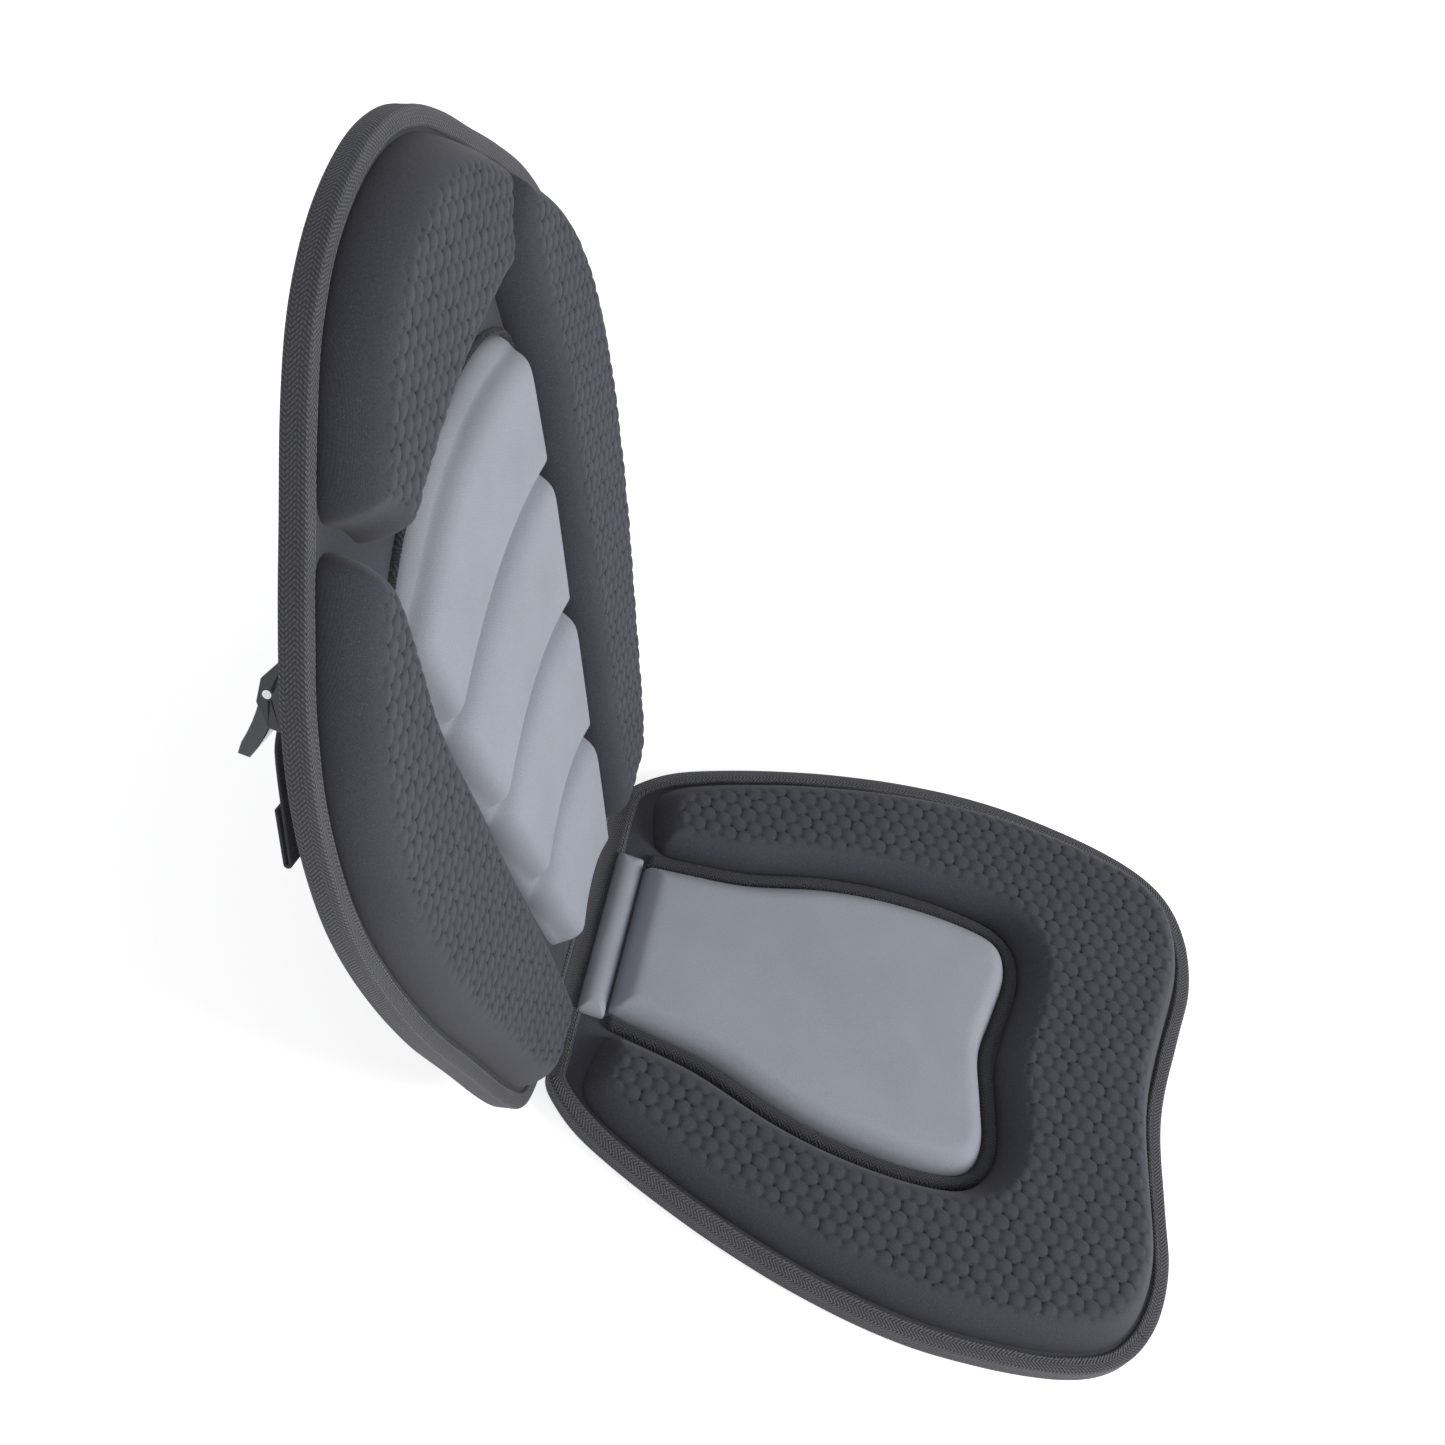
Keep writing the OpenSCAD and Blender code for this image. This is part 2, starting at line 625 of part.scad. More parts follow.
// Flat eye for the webbing with the stem that the hook turns on
module swivel_eye(side) {
    color(BRASS) at_hook(side) union() {
        difference() {
            translate([-eye_w / 2 - eye_bar, -eye_in / 2 - eye_bar, -eye_bar / 2])
                cube([eye_w + 2 * eye_bar, eye_in + 2 * eye_bar, eye_bar]);
            translate([-eye_w / 2, -eye_in / 2, -eye_bar]) cube([eye_w, eye_in, 2 * eye_bar]);
        }
        rotate([-90, 0, 0]) translate([0, 0, eye_in / 2 + eye_bar - 0.5])
            cylinder(h = collar_l + 2, d = stem_d, $fn = FINE);
        rotate([-90, 0, 0]) translate([0, 0, hook_y0 + collar_l + run_gap])
            cylinder(h = 1.6, d = stem_d + 2.4, $fn = FINE);
    }
}

// Bent hook: a collar on the stem, a long side and a round end; the other side is the gate
hook_base = hook_y0 + collar_l;
side_x = hook_mouth / 2 + hook_rod / 2;
bend_y = hook_base + hook_len - hook_mouth / 2;
nose_a = 20;
module snap_hook(side) {
    color(BRASS) at_hook(side) difference() {
        union() {
            rotate([-90, 0, 0]) translate([0, 0, hook_y0]) cylinder(h = collar_l, r = collar_r, $fn = FINE);
            translate([-side_x - 1, hook_y0 + 1, 0.5 - hook_rod / 2])
                cube([2 * side_x + 2, collar_l - 1.5, hook_rod - 1]);
            rod_bar([-side_x, hook_y0 + 3, 0], [-side_x, bend_y, 0], hook_rod + 0.4);
            rod_bar([side_x, hook_y0 + 3, 0], [side_x, hook_base + 2.5, 0], hook_rod);
            translate([0, bend_y, 0]) rotate([0, 0, nose_a])
                rotate_extrude(angle = 184 - nose_a, $fn = 2 * FINE)
                    translate([side_x, 0]) circle(d = hook_rod, $fn = FINE);
        }
        rotate([-90, 0, 0]) cylinder(h = 2 * hook_base, r = stem_d / 2 + run_gap, $fn = FINE);
        translate([side_x - hook_rod, hook_base - 2.2, -gate_t / 2 - 0.2])
            cube([2 * hook_rod, hook_rod + 5, gate_t + 0.4]);
        translate([side_x, hook_base, 0])
            cylinder(h = 3 * hook_rod, d = gate_pin_d, center = true, $fn = FINE);
    }
}

gate_t = 2;
gate_pin_d = 1.6;
module gate_pin(side) {
    color(STEEL) at_hook(side) translate([side_x, hook_base, 0])
        cylinder(h = hook_rod, d = gate_pin_d, center = true, $fn = FINE);
}

module snap_gate(side) {
    long = bend_y - hook_base + side_x * sin(nose_a) - 1.7;
    color(BRASS) at_hook(side) translate([side_x, hook_base, -gate_t / 2]) difference() {
        union() {
            cylinder(h = gate_t, r = 1.9, $fn = FINE);
            translate([-1.9, 0, 0]) cube([3, long, gate_t]);
        }
        translate([0, 0, -1]) cylinder(h = gate_t + 2, r = gate_pin_d / 2 + run_gap, $fn = FINE);
    }
}

// Doubled webbing that stands off the rear cover as a pull
module pull_tab(side) {
    rise = smooth_path([[12, web_t / 2 + lay_gap], [3, web_t / 2 + 2 * lay_gap], [-3, 3], [-7, 9], [-9, 17]]);
    route = concat(rise, turn([-9 - fold_r, 18], fold_r, 0, 180),
        [[-8.8 - 2 * fold_r, 16], [-7.2 - 2 * fold_r, 9.4]]);
    color(BLACK) on_rear(side, tab_x, tab_v, 0) webbing(route, web_w, web_t);
}

seat_edge_binding();
seat_bottom_cover();
seat_stiffener();
seat_base_foam();
seat_top_cover();
seat_pad();
centre_pad();
centre_band();
rear_roll();
seat_hinge_tape();
back_hinge_tape();
back_edge_binding();
back_rear_cover();
back_stiffener();
back_base_foam();
back_front_cover();
top_pad();
side_pad(1);  // side_pad_left
side_pad(-1);  // side_pad_right
back_panel();
panel_piping();
rib(0);  // rib_1
rib(1);  // rib_2
rib(2);  // rib_3
rib(3);  // rib_4
upper_anchor(1);  // upper_anchor_left
upper_anchor(-1);  // upper_anchor_right
upper_strap(1);  // upper_strap_left
upper_strap(-1);  // upper_strap_right
buckle_frame(1);  // buckle_frame_left
buckle_frame(-1);  // buckle_frame_right
lever_pin(1);  // lever_pin_left
lever_pin(-1);  // lever_pin_right
cam_lever(1);  // cam_lever_left
cam_lever(-1);  // cam_lever_right
lower_anchor(1);  // lower_anchor_left
lower_anchor(-1);  // lower_anchor_right
lower_strap(1);  // lower_strap_left
lower_strap(-1);  // lower_strap_right
swivel_eye(1);  // swivel_eye_left
swivel_eye(-1);  // swivel_eye_right
snap_hook(1);  // snap_hook_left
snap_hook(-1);  // snap_hook_right
gate_pin(1);  // gate_pin_left
gate_pin(-1);  // gate_pin_right
snap_gate(1);  // snap_gate_left
snap_gate(-1);  // snap_gate_right
pull_tab(1);  // pull_tab_left
pull_tab(-1);  // pull_tab_right
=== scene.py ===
"""Looks of a folding padded kayak seat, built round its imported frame.

Every soft piece is raised over the outline of the CAD node that it replaces: moulded
pads with pressed domes, a ribbed back panel, cloth covers, bound edges, stitching and
webbing. Plastic and metal pieces stay as packed and get their own finishes.
"""

import json
import logging
import math
from dataclasses import dataclass
from enum import Enum
from typing import Callable, Sequence

import bpy
import numpy as np
from mathutils import Matrix, Vector, geometry, kdtree


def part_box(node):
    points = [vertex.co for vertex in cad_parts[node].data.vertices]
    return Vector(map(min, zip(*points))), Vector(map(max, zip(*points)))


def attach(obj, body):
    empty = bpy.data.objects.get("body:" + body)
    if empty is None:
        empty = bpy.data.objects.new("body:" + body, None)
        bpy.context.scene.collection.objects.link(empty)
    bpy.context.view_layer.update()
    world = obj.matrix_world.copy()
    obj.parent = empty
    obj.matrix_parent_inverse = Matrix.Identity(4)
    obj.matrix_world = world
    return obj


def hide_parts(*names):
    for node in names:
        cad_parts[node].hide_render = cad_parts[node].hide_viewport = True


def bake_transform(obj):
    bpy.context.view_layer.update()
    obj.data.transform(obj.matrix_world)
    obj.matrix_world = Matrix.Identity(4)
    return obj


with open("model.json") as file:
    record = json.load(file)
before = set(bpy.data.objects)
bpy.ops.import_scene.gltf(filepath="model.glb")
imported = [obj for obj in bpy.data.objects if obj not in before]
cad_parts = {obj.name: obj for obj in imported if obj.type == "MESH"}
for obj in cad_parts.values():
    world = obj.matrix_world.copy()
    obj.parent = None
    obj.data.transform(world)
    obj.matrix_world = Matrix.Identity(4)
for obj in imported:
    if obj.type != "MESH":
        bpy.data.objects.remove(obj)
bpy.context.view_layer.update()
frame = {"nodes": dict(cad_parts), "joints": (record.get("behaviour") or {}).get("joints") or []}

Array = np.ndarray
Material, Object = bpy.types.Material, bpy.types.Object
NodeTree, Socket = bpy.types.NodeTree, bpy.types.NodeSocket
Skin = tuple[Array, Array]  # height and painted shade and highlight at each point

LOG = logging.getLogger("kayak_seat")
MM = 0.001
SIDES = {"left": 1, "right": -1}
HEX_ROW = math.sqrt(3) / 2  # height of a row in a triangular lattice of pitch 1
FLAT_TOLERANCE = 0.03 * MM
WELD_GAP = 0.005 * MM
BEVEL_ANGLE = math.radians(35)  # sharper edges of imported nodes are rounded


class Slot(Enum):
    """Names of the record's material slots for soft pieces."""

    CHARCOAL = "charcoal_fabric"
    GREY = "grey_fabric"
    CLOTH = "black_cloth"
    BINDING = "black_binding"
    WEBBING = "webbing"


# Places and outlines -------------------------------------------------------------


@dataclass(frozen=True)
class Place:
    """A working frame: an origin and three axes, across, along and out, as rows."""

    origin: Array
    axes: Array

    def world(self, points: Array) -> Array:
        """Row-frame places of local points."""
        return self.origin + points @ self.axes

    def local(self, points: Array) -> Array:
        """Local places of row-frame points."""
        return (points - self.origin) @ self.axes.T

    def turned_over(self) -> "Place":
        """The same place seen from the other face, with across and out reversed."""
        return Place(self.origin, self.axes * np.array([[-1.0], [1.0], [-1.0]]))


def node_points(node: str) -> Array:
    """Corner points of a CAD node, in the row frame."""
    mesh = frame["nodes"][node].data
    flat = np.empty(len(mesh.vertices) * 3, np.float32)
    mesh.vertices.foreach_get("co", flat)
    return flat.reshape(-1, 3)


def levels(node: str, place: Place) -> tuple[float, float]:
    """Lowest and highest local height of a CAD node."""
    out = place.local(node_points(node).astype(float))[:, 2]
    return float(out.min()), float(out.max())


def cap_loop(node: str, place: Place, top: bool) -> Array:
    """Outline of the flat face at one end of a CAD node.

    Args:
        node: The CAD node's name.
        place: The frame that the outline is measured in.
        top: True for the highest face, False for the lowest.

    Returns:
        The longest border loop of that face, anticlockwise, as (n, 2) points.
    """
    mesh = frame["nodes"][node].data
    mesh.calc_loop_triangles()
    points, merged = np.unique(node_points(node), axis=0, return_inverse=True)
    merged = merged.reshape(-1)
    corners = merged[np.array([t.vertices[:] for t in mesh.loop_triangles])]
    local = place.local(points.astype(float))
    level = local[:, 2].max() if top else local[:, 2].min()
    flat = corners[(np.abs(local[corners][:, :, 2] - level) < FLAT_TOLERANCE).all(1)]
    edges = {(t[i], t[(i + 1) % 3]) for t in flat.tolist() for i in range(3)}
    follows = {a: b for a, b in edges if (b, a) not in edges}
    loops = []
    while follows:
        start = next(iter(follows))
        loop, at = [start], follows.pop(start)
        while at in follows and at != start:
            loop.append(at)
            at = follows.pop(at)
        loops.append(local[loop][:, :2])
    loop = max(loops, key=lambda p: np.ptp(p, axis=0).sum())
    return loop if loop_area(loop) > 0 else loop[::-1]


def loop_area(loop: Array) -> float:
    """Signed area inside a closed loop, positive if it runs anticlockwise."""
    after = np.roll(loop, -1, axis=0)
    return 0.5 * float((loop[:, 0] * after[:, 1] - loop[:, 1] * after[:, 0]).sum())


def bell(sigma: float) -> tuple[Array, int]:
    """Smoothing weights of a bell curve with the given width in samples, and their reach."""
    reach = int(3 * sigma) + 1
    weights = np.exp(-0.5 * (np.arange(-reach, reach + 1) / sigma) ** 2)
    return weights / weights.sum(), reach


def even_loop(loop: Array, step: float, soften: float) -> Array:
    """Shares points evenly round a closed loop and rounds its corners.

    Args:
        loop: The loop as (n, 2) points.
        step: Distance between the new points.
        soften: Width of the rounding at a corner.

    Returns:
        The new loop as (m, 2) points.
    """
    closed = np.vstack([loop, loop[:1]])
    run = run_along(closed)
    count = max(12, int(run[-1] / step))
    at = np.arange(count) * run[-1] / count
    even = np.stack([np.interp(at, run, closed[:, k]) for k in (0, 1)], axis=1)
    weights, reach = bell(max(soften / step, 0.01))
    wrapped = np.vstack([even[-reach:], even, even[:reach]])
    return np.stack([np.convolve(wrapped[:, k], weights, "valid") for k in (0, 1)], axis=1)


def run_along(line: Array) -> Array:
    """Distance of each point of a line from its start."""
    return np.concatenate([[0.0], np.cumsum(np.linalg.norm(np.diff(line, axis=0), axis=1))])


def node_loop(node: str, place: Place, top: bool, step: float, soften: float) -> Array:
    """Outline of a CAD node's end face, evenly spaced and with rounded corners."""
    return even_loop(cap_loop(node, place, top), step, soften)


def outward(loop: Array) -> Array:
    """Outward unit normals at the points of an anticlockwise loop."""
    along = np.roll(loop, -1, axis=0) - np.roll(loop, 1, axis=0)
    normal = np.stack([along[:, 1], -along[:, 0]], axis=1)
    return normal / np.linalg.norm(normal, axis=1, keepdims=True)


def edge_distance(points: Array, loop: Array) -> Array:
    """Distance from each point to an anticlockwise closed loop, negative outside it."""
    finder = kdtree.KDTree(len(loop))
    for number, (x, y) in enumerate(loop.tolist()):
        finder.insert((x, y, 0.0), number)
    finder.balance()
    nearest = np.array([finder.find((x, y, 0.0))[1] for x, y in points.tolist()], int)
    gaps = []
    for back in (1, 0):
        start = loop[(nearest - back) % len(loop)]
        span = loop[(nearest - back + 1) % len(loop)] - start
        share = np.clip(((points - start) * span).sum(1) / (span**2).sum(1), 0, 1)
        gaps.append(points - start - share[:, None] * span)
    sizes = [np.linalg.norm(gap, axis=1) for gap in gaps]
    gap = np.where((sizes[0] < sizes[1])[:, None], gaps[0], gaps[1])
    outside = (gap * outward(loop)[nearest]).sum(1) > 0
    return np.where(outside, -1.0, 1.0) * np.minimum(*sizes)


def bump_at(x: Array, size: float, middle: float, width: float) -> Array:
    """Bell-shaped bump of some size and width round a middle."""
    return size * np.exp(-(((x - middle) / width) ** 2))


def smoothstep(x: Array, low: float, high: float) -> Array:
    """Smooth rise from 0 at low to 1 at high."""
    t = np.clip((x - low) / (high - low), 0, 1)
    return t * t * (3 - 2 * t)


# Meshes --------------------------------------------------------------------------


def new_piece(
    name: str,
    points: Array,
    faces: Sequence[Sequence[int]],
    material: Material,
    cloth: Array,
    painted_shade: Array | None = None,
    crease: float = 50,
) -> Object:
    """Makes a smooth-shaded object that carries its own cloth coordinates.

    Args:
        name: The piece's name.
        points: Corner points in the row frame.
        faces: Corner numbers of each face.
        material: The piece's finish.
        cloth: Coordinates that the weave follows, one row of three per point.
        painted_shade: Painted shade and highlight at each point, from 0 darkest through 0.5 none to
            1 lightest.
        crease: Angle in degrees past which an edge stays sharp.

    Returns:
        The new object.
    """
    mesh = bpy.data.meshes.new(name)
    mesh.from_pydata(points.tolist(), [], [list(map(int, f)) for f in faces])
    mesh.polygons.foreach_set("use_smooth", [True] * len(mesh.polygons))
    mesh.set_sharp_from_angle(angle=math.radians(crease))
    coordinates = mesh.attributes.new("cloth", "FLOAT_VECTOR", "POINT")
    coordinates.data.foreach_set("vector", cloth.astype(np.float32).ravel())
    # Painted shade and highlight for the finishes: below 0.5 darkens the colour, above 0.5 lightens
    # it
    raised = mesh.attributes.new("painted_shade", "FLOAT", "POINT")
    shade = np.full(len(points), 0.5) if painted_shade is None else painted_shade
    raised.data.foreach_set("value", shade.astype(np.float32))
    mesh.materials.append(material)
    piece = bpy.data.objects.new(name, mesh)
    bpy.context.scene.collection.objects.link(piece)
    LOG.info("%s: %d points, %d faces", name, len(points), len(faces))
    return piece


def triangles(points: Array, border: int) -> tuple[Array, Array, Array]:
    """Fills a loop with triangles.

    Args:
        points: Flat points, the loop's own first.
        border: How many of them are the loop's.

    Returns:
        The points used, the anticlockwise triangles, and the new number of each loop point.
    """
    flat = [Vector(p) for p in points]
    edges = [(i, (i + 1) % border) for i in range(border)]
    made, _, faces, origin, _, _ = geometry.delaunay_2d_cdt(flat, edges, [], 1, 1e-8)
    used = np.array([tuple(p) for p in made])
    number = np.zeros(border, int)
    for new, old in enumerate(origin):
        for k in old:
            if k < border:
                number[k] = new
    corners = np.array([f for f in faces if len(f) == 3])
    a, b, c = (used[corners[:, k]] for k in range(3))
    turn = (b[:, 0] - a[:, 0]) * (c[:, 1] - a[:, 1]) - (b[:, 1] - a[:, 1]) * (c[:, 0] - a[:, 0])
    corners[turn < 0] = corners[turn < 0][:, ::-1]
    return used, corners, number


def tube_faces(count: int, around: int, closed: bool) -> Array:
    """Four-cornered faces between rings of points.

    Args:
        count: Number of rings.
        around: Number of points in each ring.
        closed: True if the last ring is joined to the first.

    Returns:
        The faces as (n, 4) point numbers.
    """
    i, j = np.meshgrid(np.arange(count if closed else count - 1), np.arange(around), indexing="ij")
    after, beside = (i + 1) % count, (j + 1) % around
    rows = [i * around + j, i * around + beside, after * around + beside, after * around + j]
    return np.stack(rows, axis=-1).reshape(-1, 4)


def wrap(down: Array, round_it: Array) -> Array:
    """Cloth coordinates of rings of points: a place down the rings and one round them."""
    return np.stack(np.broadcast_arrays(down[:, None], round_it[None], 0.0), axis=2).reshape(-1, 3)


Height = Callable[[Array, Array], Skin]


@dataclass(frozen=True)
class Sheet:
    """A closed piece whose upper skin is raised over an outline."""

    place: Place
    outline: Array
    base: float
    height: Height
    pitch: float = 1.3 * MM
    rings: tuple[float, ...] = (0.35, 0.8, 1.4, 2.2, 3.2)

    def skin_points(self) -> Array:
        """Flat points of the skin: the outline, rings close to it, and a lattice inside."""
        normal = outward(self.outline)
        parts = [self.outline]
        for ring in self.rings:
            moved = self.outline - ring * MM * normal
            clear = edge_distance(moved, self.outline)
            parts.append(moved[clear > 0.96 * ring * MM])
        low, high = self.outline.min(0), self.outline.max(0)
        ys = np.arange(low[1], high[1], self.pitch * HEX_ROW)
        xs = np.arange(low[0], high[0], self.pitch)
        grid = np.array([(x + (k % 2) * self.pitch / 2, y) for k, y in enumerate(ys) for x in xs])
        keep = edge_distance(grid, self.outline) > (self.rings[-1] * MM + 0.7 * self.pitch)
        return np.vstack(parts + [grid[keep]])

    def build(self, name: str, material: Material) -> Object:
        """Raises the skin and closes it underneath.

        Args:
            name: The piece's name.
            material: The piece's finish.

        Returns:
            The piece.
        """
        border = len(self.outline)
        flat, faces, number = triangles(self.skin_points(), border)
        depth = np.maximum(edge_distance(flat, self.outline), 0)
        depth[number] = 0
        rise, painted_shade = self.height(flat, depth)
        local = np.column_stack([flat, self.base + rise])
        _, under, back = triangles(self.outline, border)
        renumber = np.zeros(border, int)
        renumber[back] = number
        closing = renumber[under][:, ::-1]
        world = self.place.world(local)
        return new_piece(name, world, np.vstack([faces, closing]), material, local, painted_shade)


@dataclass(frozen=True)
class Profile:
    """How a skin rises from its edge: pairs of depth in mm and share of the height."""

    steps: tuple[tuple[float, float], ...]
    blur: float = 0.8

    def __call__(self, depth: Array) -> Array:
        """Share of the full height at each depth."""
        xs, ys = (np.array(v) for v in zip(*self.steps))
        fine = np.linspace(0, xs[-1] + 4 * self.blur, 400)
        rough = np.interp(fine, xs, ys)
        weights, reach = bell(self.blur / (fine[1] - fine[0]))
        mirror = np.concatenate([-rough[reach:0:-1], rough, np.full(reach, rough[-1])])
        soft = np.convolve(mirror, weights, "valid")
        return np.interp(depth / MM, fine, np.maximum(soft, 0))


PAD_RISE = Profile(((0, 0), (1.0, 0.22), (4, 0.55), (9, 0.9), (14, 1)), 1.3)
THIN_RISE = Profile(((0, 0), (0.8, 0.35), (4, 0.72), (8, 0.94), (12, 1)), 0.9)
TRIM_RISE = Profile(((0, 0), (0.5, 0.5), (1.5, 0.88), (3.5, 1)), 0.35)
CENTRE_RISE = Profile(((0, 0), (0.8, 0.3), (4, 0.66), (9, 0.95), (13, 1)), 1.2)
RIB_RISE = Profile(((0, 0), (1.2, 0.22), (4.5, 0.66), (9, 0.93), (13, 1)), 1.4)


@dataclass(frozen=True)
class Domes:
    """Close-packed domes pressed into a pad, fading out near its edge."""

    pitch: float = 9.5 * MM
    height: float = 1.9 * MM
    fade_from: float = 9 * MM
    fade_to: float = 15 * MM
    reach: float = 0.55

    def __call__(self, points: Array, depth: Array) -> Skin:
        """Height of the domes and their painted shade and highlight at each point."""
        column = self.pitch * HEX_ROW
        gaps = []
        for shift in (0.0, 1.0):
            x = points[:, 0] - shift * column
            y = points[:, 1] - shift * self.pitch / 2
            dx = x - np.round(x / (2 * column)) * 2 * column
            dy = y - np.round(y / self.pitch) * self.pitch
            gaps.append(np.hypot(dx, dy))
        t = np.minimum(*gaps) / (self.reach * self.pitch)
        dome = np.sqrt(np.clip(1 - t**2.4, 0, 1))
        amount = smoothstep(depth, self.fade_from, self.fade_to)
        # Second value: painted shade between the domes and painted highlight on their tops, fading
        # near the edge
        return self.height * dome * amount, 0.5 + (dome - 0.62) * 0.9 * amount


# Node graphs and finishes ---------------------------------------------------------


class Graph:
    """A node tree under construction."""

    def __init__(self, tree: NodeTree) -> None:
        """Starts on an empty tree."""
        self.tree = tree
        tree.nodes.clear()

    def add(self, kind: str, inputs: dict | None = None, **settings: object) -> bpy.types.Node:
        """Adds a node.

        Args:
            kind: The node's type.
            inputs: Values or sockets by input name or number.
            **settings: Properties set on the node.

        Returns:
            The node.
        """
        node = self.tree.nodes.new(kind)
        for key, value in settings.items():
            setattr(node, key, value)
        for key, value in (inputs or {}).items():
            if isinstance(value, Socket):
                self.tree.links.new(value, node.inputs[key])
            else:
                node.inputs[key].default_value = value
        return node

    def join(self, value: Socket, socket: Socket) -> None:
        """Links one socket to another."""
        self.tree.links.new(value, socket)

    def surface(
        self, colour: object, rough: object, height: object, bump: tuple[float, float], more: dict
    ) -> None:
        """Finishes a material.

        Args:
            colour: Its colour.
            rough: Its roughness.
            height: What its bump follows.
            bump: The bump's depth and strength.
            more: Further inputs of the shader.
        """
        raised = {"Height": height, "Distance": bump[0], "Strength": bump[1]}
        normal = self.add("ShaderNodeBump", raised).outputs[0]
        inputs = {"Base Color": colour, "Roughness": rough, "Normal": normal} | more
        shader = self.add("ShaderNodeBsdfPrincipled", inputs)
        self.join(shader.outputs[0], self.add("ShaderNodeOutputMaterial").inputs[0])

    def math(self, operation: str, *values: object, clamp: bool = False) -> Socket:
        """Result of a math node on up to three values."""
        inputs = dict(enumerate(values))
        made = self.add("ShaderNodeMath", inputs, operation=operation, use_clamp=clamp)
        return made.outputs[0]

    def ramp(self, value: object, low: object, high: object, a: object, b: object) -> Socket:
        """Value mapped from low..high to a..b and clamped."""
        inputs = {0: value, 1: low, 2: high, 3: a, 4: b}
        return self.add("ShaderNodeMapRange", inputs).outputs[0]

    def mix(self, share: object, a: object, b: object) -> Socket:
        """Colour a mixed towards b by share."""
        inputs = {0: share, 6: a, 7: b}
        return self.add("ShaderNodeMix", inputs, data_type="RGBA").outputs[2]

    def wave(self, value: object, pitch: object) -> Socket:
        """Sine of value with the given pitch."""
        turns = self.math("MULTIPLY", self.math("DIVIDE", value, pitch), math.tau)
        return self.math("SINE", turns)


def new_material(name: str) -> tuple[Material, Graph]:
    """A new material and its empty graph."""
    material = bpy.data.materials.new(name)
    material.use_nodes = True
    return material, Graph(material.node_tree)


def group(
    name: str, inputs: dict[str, object], outputs: Sequence[str]
) -> tuple[Graph, dict, bpy.types.Node]:
    """Starts a shader group.

    Args:
        name: The group's name.
        inputs: Default of each input, or None for a vector.
        outputs: Names of its number outputs.

    Returns:
        The graph, the input sockets by name, and the output node.
    """
    tree = bpy.data.node_groups.new(name, "ShaderNodeTree")
    graph = Graph(tree)
    for key, value in inputs.items():
        kind = "NodeSocketVector" if value is None else "NodeSocketFloat"
        socket = tree.interface.new_socket(key, in_out="INPUT", socket_type=kind)
        if value is not None:
            socket.default_value = value
    for key in outputs:
        tree.interface.new_socket(key, in_out="OUTPUT", socket_type="NodeSocketFloat")
    start = graph.add("NodeGroupInput")
    return graph, {s.name: s for s in start.outputs if s.name}, graph.add("NodeGroupOutput")


class Effects:
    """Shared surface effects, each built once as a node group."""

    def __init__(self) -> None:
        """Builds the groups."""
        self.weave = self._weave()
        self.twill = self._twill()
        self.mottle = self._mottle()
        self.specks = self._specks()

    def _weave(self) -> NodeTree:
        """Over-and-under threads of a plain cloth."""
        inputs = {"Vector": None, "Pitch": MM}
        graph, given, end = group("plain_weave", inputs, ("Threads", "Height"))
        split = graph.add("ShaderNodeSeparateXYZ", {0: given["Vector"]})
        a = graph.wave(split.outputs[0], given["Pitch"])
        b = graph.wave(split.outputs[1], given["Pitch"])
        cross = graph.ramp(graph.math("MULTIPLY", a, b), -1.0, 1.0, 0.0, 1.0)
        graph.join(cross, end.inputs["Threads"])
        both = graph.math("ADD", graph.math("ABSOLUTE", a), graph.math("ABSOLUTE", b))
        ribs = graph.math("MULTIPLY", both, 0.25)
        height = graph.math("ADD", graph.math("MULTIPLY", cross, 0.5), ribs)
        graph.join(height, end.inputs["Height"])
        return graph.tree

    def _twill(self) -> NodeTree:
        """Herringbone: slanting ribs that turn back in bands across the tape."""
        inputs = {"Vector": None, "Pitch": 1.6 * MM, "Band": 5 * MM}
        graph, given, end = group("herringbone", inputs, ("Threads", "Height"))
        split = graph.add("ShaderNodeSeparateXYZ", {0: given["Vector"]})
        slant = graph.math("PINGPONG", split.outputs[1], given["Band"])
        ribs = graph.wave(graph.math("ADD", split.outputs[0], slant), given["Pitch"])
        fine = graph.wave(split.outputs[1], graph.math("MULTIPLY", given["Pitch"], 0.7))
        ridge = graph.ramp(ribs, -0.6, 1.0, 0.0, 1.0)
        threads = graph.math("MULTIPLY", ridge, graph.ramp(fine, -1.0, 0.6, 0.35, 1.0))
        graph.join(threads, end.inputs["Threads"])
        graph.join(graph.ramp(ribs, -1.0, 1.0, 0.0, 1.0), end.inputs["Height"])
        return graph.tree

    def _mottle(self) -> NodeTree:
        """Slow change of shade over a surface, and the fine grain of its fibres."""
        inputs = {"Vector": None, "Broad": 45 * MM, "Fine": 0.9 * MM}
        graph, given, end = group("mottle", inputs, ("Broad", "Grain"))
        kinds = (("Broad", "Broad", 2.0, 0.3, 0.7), ("Fine", "Grain", 3.0, 0.25, 0.75))
        for size, result, detail, low, high in kinds:
            scale = graph.math("DIVIDE", 1.0, given[size])
            field = {"Vector": given["Vector"], "Scale": scale, "Detail": detail}
            noise = graph.add("ShaderNodeTexNoise", field)
            graph.join(graph.ramp(noise.outputs[0], low, high, 0.0, 1.0), end.inputs[result])
        return graph.tree

    def _specks(self) -> NodeTree:
        """Sparse light fibre ends or lint."""
        inputs = {"Vector": None, "Spacing": 1.6 * MM, "Share": 0.12, "Size": 0.22}
        graph, given, end = group("specks", inputs, ("Mask",))
        scale = graph.math("DIVIDE", 1.0, given["Spacing"])
        cells = graph.add("ShaderNodeTexVoronoi", {"Vector": given["Vector"], "Scale": scale})
        core = graph.math("MULTIPLY", given["Size"], 0.4)
        round_dot = graph.ramp(cells.outputs["Distance"], core, given["Size"], 1.0, 0.0)
        pick = graph.add("ShaderNodeSeparateColor", {0: cells.outputs["Color"]}).outputs[0]
        chosen = graph.math("GREATER_THAN", pick, graph.math("SUBTRACT", 1.0, given["Share"]))
        graph.join(graph.math("MULTIPLY", round_dot, chosen), end.inputs["Mask"])
        return graph.tree


